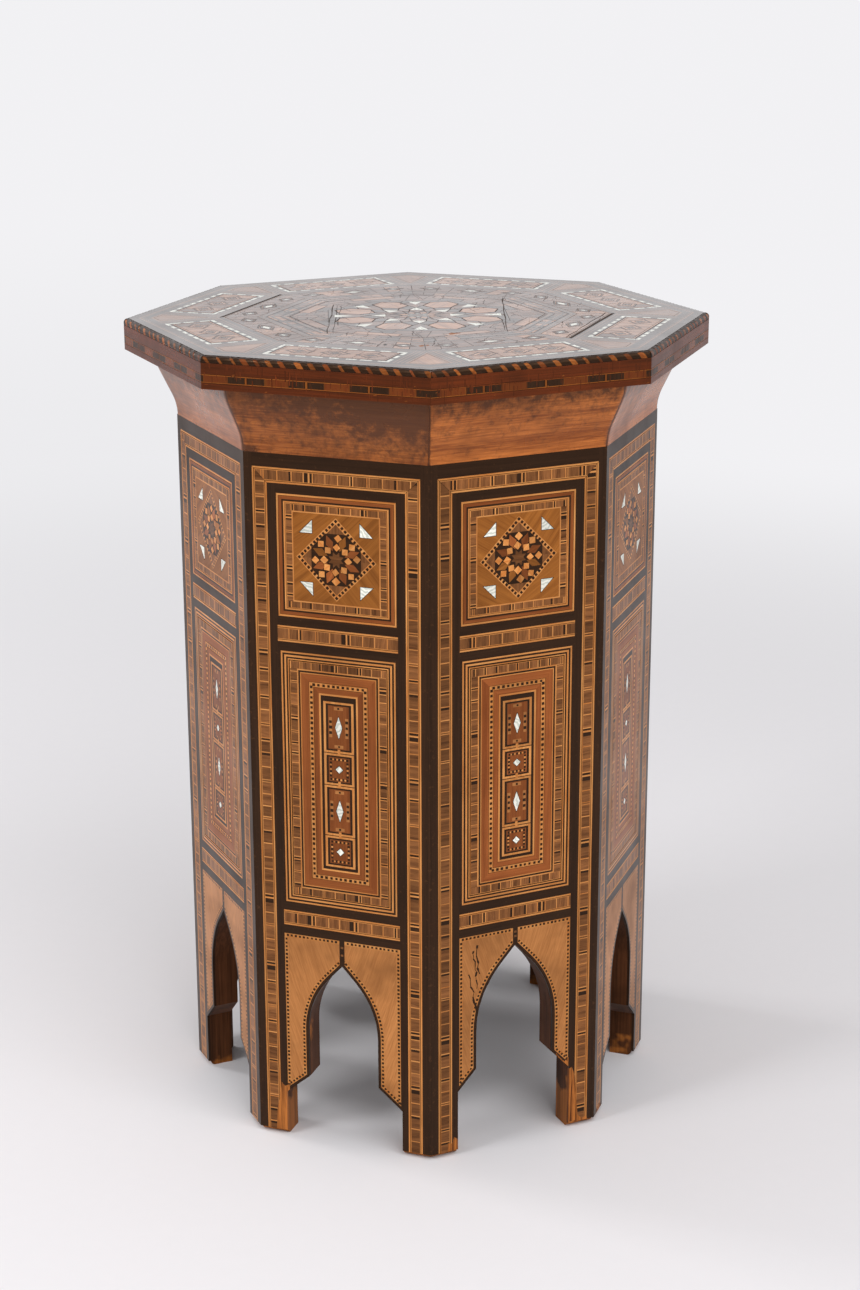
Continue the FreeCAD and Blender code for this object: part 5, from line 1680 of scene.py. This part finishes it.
def crack_tiles(chance):
    """Long dark cracks where the pieces have shrunk, a knot hole and rubbed chips."""
    tiles = []
    lines = list(CRACKS)
    for _ in range(150):
        x, y = chance.uniform(-135, 125), chance.uniform(-125, 120)
        run = chance.uniform(10, 42)
        lean = chance.choice((0.05, 0.34, -0.3, 1.0, -1.0, 2.4))
        lines.append(((x, y), (x + lean * run * 0.5, y - run * 0.6), chance.uniform(0.12, 0.32)))
    for (x0, y0), (x1, y1), thick in lines:
        steps = 8
        path = []
        for step in range(steps + 1):
            part = step / steps
            path.append((x0 + (x1 - x0) * part + chance.uniform(-0.7, 0.7), y0 + (y1 - y0) * part))
        for first, second in zip(path, path[1:]):
            wide = thick * chance.uniform(0.4, 1.2)
            crack = [(first[0] - wide, first[1]), (second[0] - wide, second[1]),
                     (second[0] + wide, second[1]), (first[0] + wide, first[1])]
            tiles.append(tile(crack, "top_joint"))
    hole = [(20.5 + 1.3 * math.cos(k * TURN), -121 + 3.8 * math.sin(k * TURN)) for k in range(8)]
    tiles.append(tile(spun(hole, 0.3, (20.5, -121)), "ebony", 0, -1.0))
    for at, up, size in ((50, -65, 3.4), (53, -62, 2.2), (46, -117, 2.4), (49, -114, 1.6)):
        chip = [(at + size * chance.uniform(0.5, 1.0) * math.cos(k * TURN),
                 up + 1.6 * size * chance.uniform(0.5, 1.0) * math.sin(k * TURN)) for k in range(8)]
        tiles.append(tile(chip, "raw", 0.4, -0.2))
    return tiles


class SIDETABLE_OT_top_star(SideTableOperator):
    """Lay the middle octagon of the top: its ring, its straps and its star."""

    bl_idname = "side_table.top_star"
    bl_label = "Top Star"

    def execute(self, context):
        piece, plan, chance = laying("top_star", 151)
        tiles = ring_tiles(plan, chance) + field_tiles(plan, chance)
        tiles += star_tiles(plan, chance) + crack_tiles(chance)
        piece.lay([octagon(plan.star_half)] + top_pearls(plan), tiles, on_top(plan), "top_brown")
        piece.finish("top_field_wood")
        return {"FINISHED"}


class SIDETABLE_OT_top_pearls(SideTableOperator):
    """Lay the mother-of-pearl of the top."""

    bl_idname = "side_table.top_pearls"
    bl_label = "Top Pearls"

    def execute(self, context):
        piece = Laying("top_pearls", 163)
        for corners in top_pearls(piece.plan):
            tiles = [tile(corners, "pearl", piece.chance.uniform(0, 3))]
            piece.lay([corners], tiles, on_top(piece.plan), "pearl")
        piece.finish("mother_of_pearl")
        return {"FINISHED"}


# Azimuth from the front, height above the horizon, distance, width and height, and watts.
LAMPS = (
    ("key_lamp", -38, 34, 3.0, (0.9, 0.9), 25),
    ("front_lamp", 54, 42, 3.0, (2.8, 2.4), 47),
    ("over_lamp", 0, 84, 2.6, (2.2, 2.2), 6),
    ("side_lamp", -93, 29, 3.0, (0.5, 0.5), 19),
)
# Along the floor, towards the camera and to its right.
FORWARD, ASIDE = (0.34, -0.94, 0.0), (0.94, 0.34, 0.0)
# Linear colours of the paper behind the table, as bright as the lamps leave it, and left of it.
PAPER, PAPER_LEFT = (0.885, 0.88, 0.9), (0.83, 0.825, 0.845)


def direction(azimuth, rise):
    """Unit vector away from the table, by degrees round from its front and up."""
    turn, lift = math.radians(azimuth), math.radians(rise)
    return Vector((math.sin(turn) * math.cos(lift), -math.cos(turn) * math.cos(lift), math.sin(lift)))


def make_floor(scene):
    """Round pale floor that fades away from the table into a glowing backdrop of painted light."""
    reach, count = 9.0, 96
    angles = [k * math.tau / count for k in range(count)]
    mesh = bpy.data.meshes.new("studio_floor")
    rim = [(reach * math.cos(angle), reach * math.sin(angle), 0) for angle in angles]
    mesh.from_pydata(rim, [], [list(range(count))])
    floor = bpy.data.objects.new("studio_floor", mesh)
    scene.collection.objects.link(floor)
    # Matt paper: pale, even and without gloss.
    tree, shader = new_material("matt_studio_paper")
    mesh.materials.append(bpy.data.materials["matt_studio_paper"])
    tint = scene.side_table_colours.floor
    spots = add(tree, "TexCoord", out="Object")
    # Paper fibres, drawn coarse enough to soften the floor a little.
    grain = add(tree, "TexNoise", {"Vector": spots, "Scale": 1 / (12 * MM)})
    fleck = [c * 0.985 for c in tint]
    body = add(tree, "Mix", {6: fleck, 7: tint, 0: grain}, out=2, data_type="RGBA")
    join(shader, {"Base Color": body, "Roughness": 0.85, "Specular IOR Level": 0.2})
    away = add(tree, "VectorMath", {0: spots}, out="Value", operation="LENGTH")
    # Painted light: the paper is painted a little brighter to the right.
    right = add(tree, "VectorMath", {0: spots, 1: ASIDE}, out="Value", operation="DOT_PRODUCT")
    far, rise, aside = (
        add(tree, "MapRange", {"Value": source, "From Min": low, "From Max": high},
            interpolation_type="SMOOTHSTEP")
        for source, low, high in ((away, 0.75, 2.2), (away, 1.2, 5.5), (right, -0.5, 0.7)))
    near = add(tree, "Mix", {6: PAPER_LEFT, 7: PAPER, 0: aside}, out=2, data_type="RGBA")
    paper = add(tree, "Mix", {6: near, 7: PAPER, 0: rise}, out=2, data_type="RGBA")
    seen = add(tree, "LightPath", out="Is Camera Ray")
    fade = add(tree, "Math", {0: far, 1: seen}, operation="MULTIPLY")
    glow = add(tree, "Emission", {"Color": paper, "Strength": 1.0})
    blend = add(tree, "MixShader", {0: fade, 1: shader.outputs[0], 2: glow})
    join(tree.get_output_node("ALL"), {"Surface": blend})


def make_world(scene):
    """White room: plain fill on the object, white behind it and in its reflections."""
    scene.world = bpy.data.worlds.new("white_studio")
    scene.world.use_nodes = True
    tree = scene.world.node_tree
    tree.nodes.clear()
    fill = add(tree, "Background", {"Color": (1.0, 1.0, 1.0), "Strength": 0.46})
    white = add(tree, "Background", {"Color": PAPER, "Strength": 1.0})
    seen = add(tree, "LightPath").node.outputs
    first = add(tree, "Math", {0: seen["Is Camera Ray"], 1: seen["Is Glossy Ray"]},
                operation="MAXIMUM")
    both = add(tree, "Math", {0: first, 1: seen["Is Transmission Ray"]}, operation="MAXIMUM")
    add(tree, "OutputWorld", {"Surface": add(tree, "MixShader", {0: both, 1: fill, 2: white})})


def make_lamps(scene):
    """Soft key from the left front, a broad lamp from the right, one above and one at the left."""
    for name, azimuth, rise, distance, size, power in LAMPS:
        aim = direction(azimuth, rise)
        data = bpy.data.lights.new(name, "AREA")
        data.shape = "RECTANGLE"
        data.size, data.size_y = size
        data.energy = power
        lamp = bpy.data.objects.new(name, data)
        scene.collection.objects.link(lamp)
        lamp.location = Vector((0, 0, 0.3)) + aim * distance
        lamp.rotation_euler = (-aim).to_track_quat("-Z", "Y").to_euler()
        lamp.visible_camera = False


def make_camera(scene):
    """Camera at the photograph's view: nearly straight at a corner, from above."""
    away = direction(19.98, 17.45)
    data = bpy.data.cameras.new("camera")
    data.lens, data.sensor_width = 66.34, 36.0
    camera = bpy.data.objects.new("camera", data)
    scene.collection.objects.link(camera)
    camera.location = Vector((8.8, 0, 345.6)) * MM + away * 1.829
    look = (-away).to_track_quat("-Z", "Y").to_matrix().to_4x4()
    camera.rotation_euler = (look @ Matrix.Rotation(math.radians(-0.156), 4, "Z")).to_euler()
    scene.camera = camera


class SIDETABLE_OT_stage(SideTableOperator):
    """Set the pale floor, the soft studio light and the camera."""

    bl_idname = "side_table.stage"
    bl_label = "Stage"

    def execute(self, context):
        scene = context.scene
        make_floor(scene)
        make_world(scene)
        make_lamps(scene)
        make_camera(scene)
        scene.view_settings.view_transform = "Standard"
        return {"FINISHED"}


# Every operator above, in the order in which the pieces are laid.
OPERATORS = tuple(SideTableOperator.__subclasses__())


class SIDETABLE_PT_panel(bpy.types.Panel):
    """Lists the table's pieces in the order in which they are laid."""

    bl_label = "Side Table"
    bl_idname = "SIDETABLE_PT_panel"
    bl_space_type = "VIEW_3D"
    bl_region_type = "UI"
    bl_category = "Side Table"

    def draw(self, context):
        column = self.layout.column(align=True)
        for operator in OPERATORS:
            column.operator(operator.bl_idname)


CLASSES = (SideTableSizes, SideTableColours, *OPERATORS, SIDETABLE_PT_panel)


def register():
    """Register the classes and hang the properties on the scene."""
    for one in CLASSES:
        bpy.utils.register_class(one)
    bpy.types.Scene.side_table_sizes = PointerProperty(type=SideTableSizes)
    bpy.types.Scene.side_table_colours = PointerProperty(type=SideTableColours)


def unregister():
    """Take the properties off the scene and unregister the classes."""
    del bpy.types.Scene.side_table_colours
    del bpy.types.Scene.side_table_sizes
    for one in reversed(CLASSES):
        bpy.utils.unregister_class(one)


def main():
    """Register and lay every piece."""
    register()
    for operator in OPERATORS:
        group, name = operator.bl_idname.split(".")
        getattr(getattr(bpy.ops, group), name)()


if __name__ == "__main__":
    main()
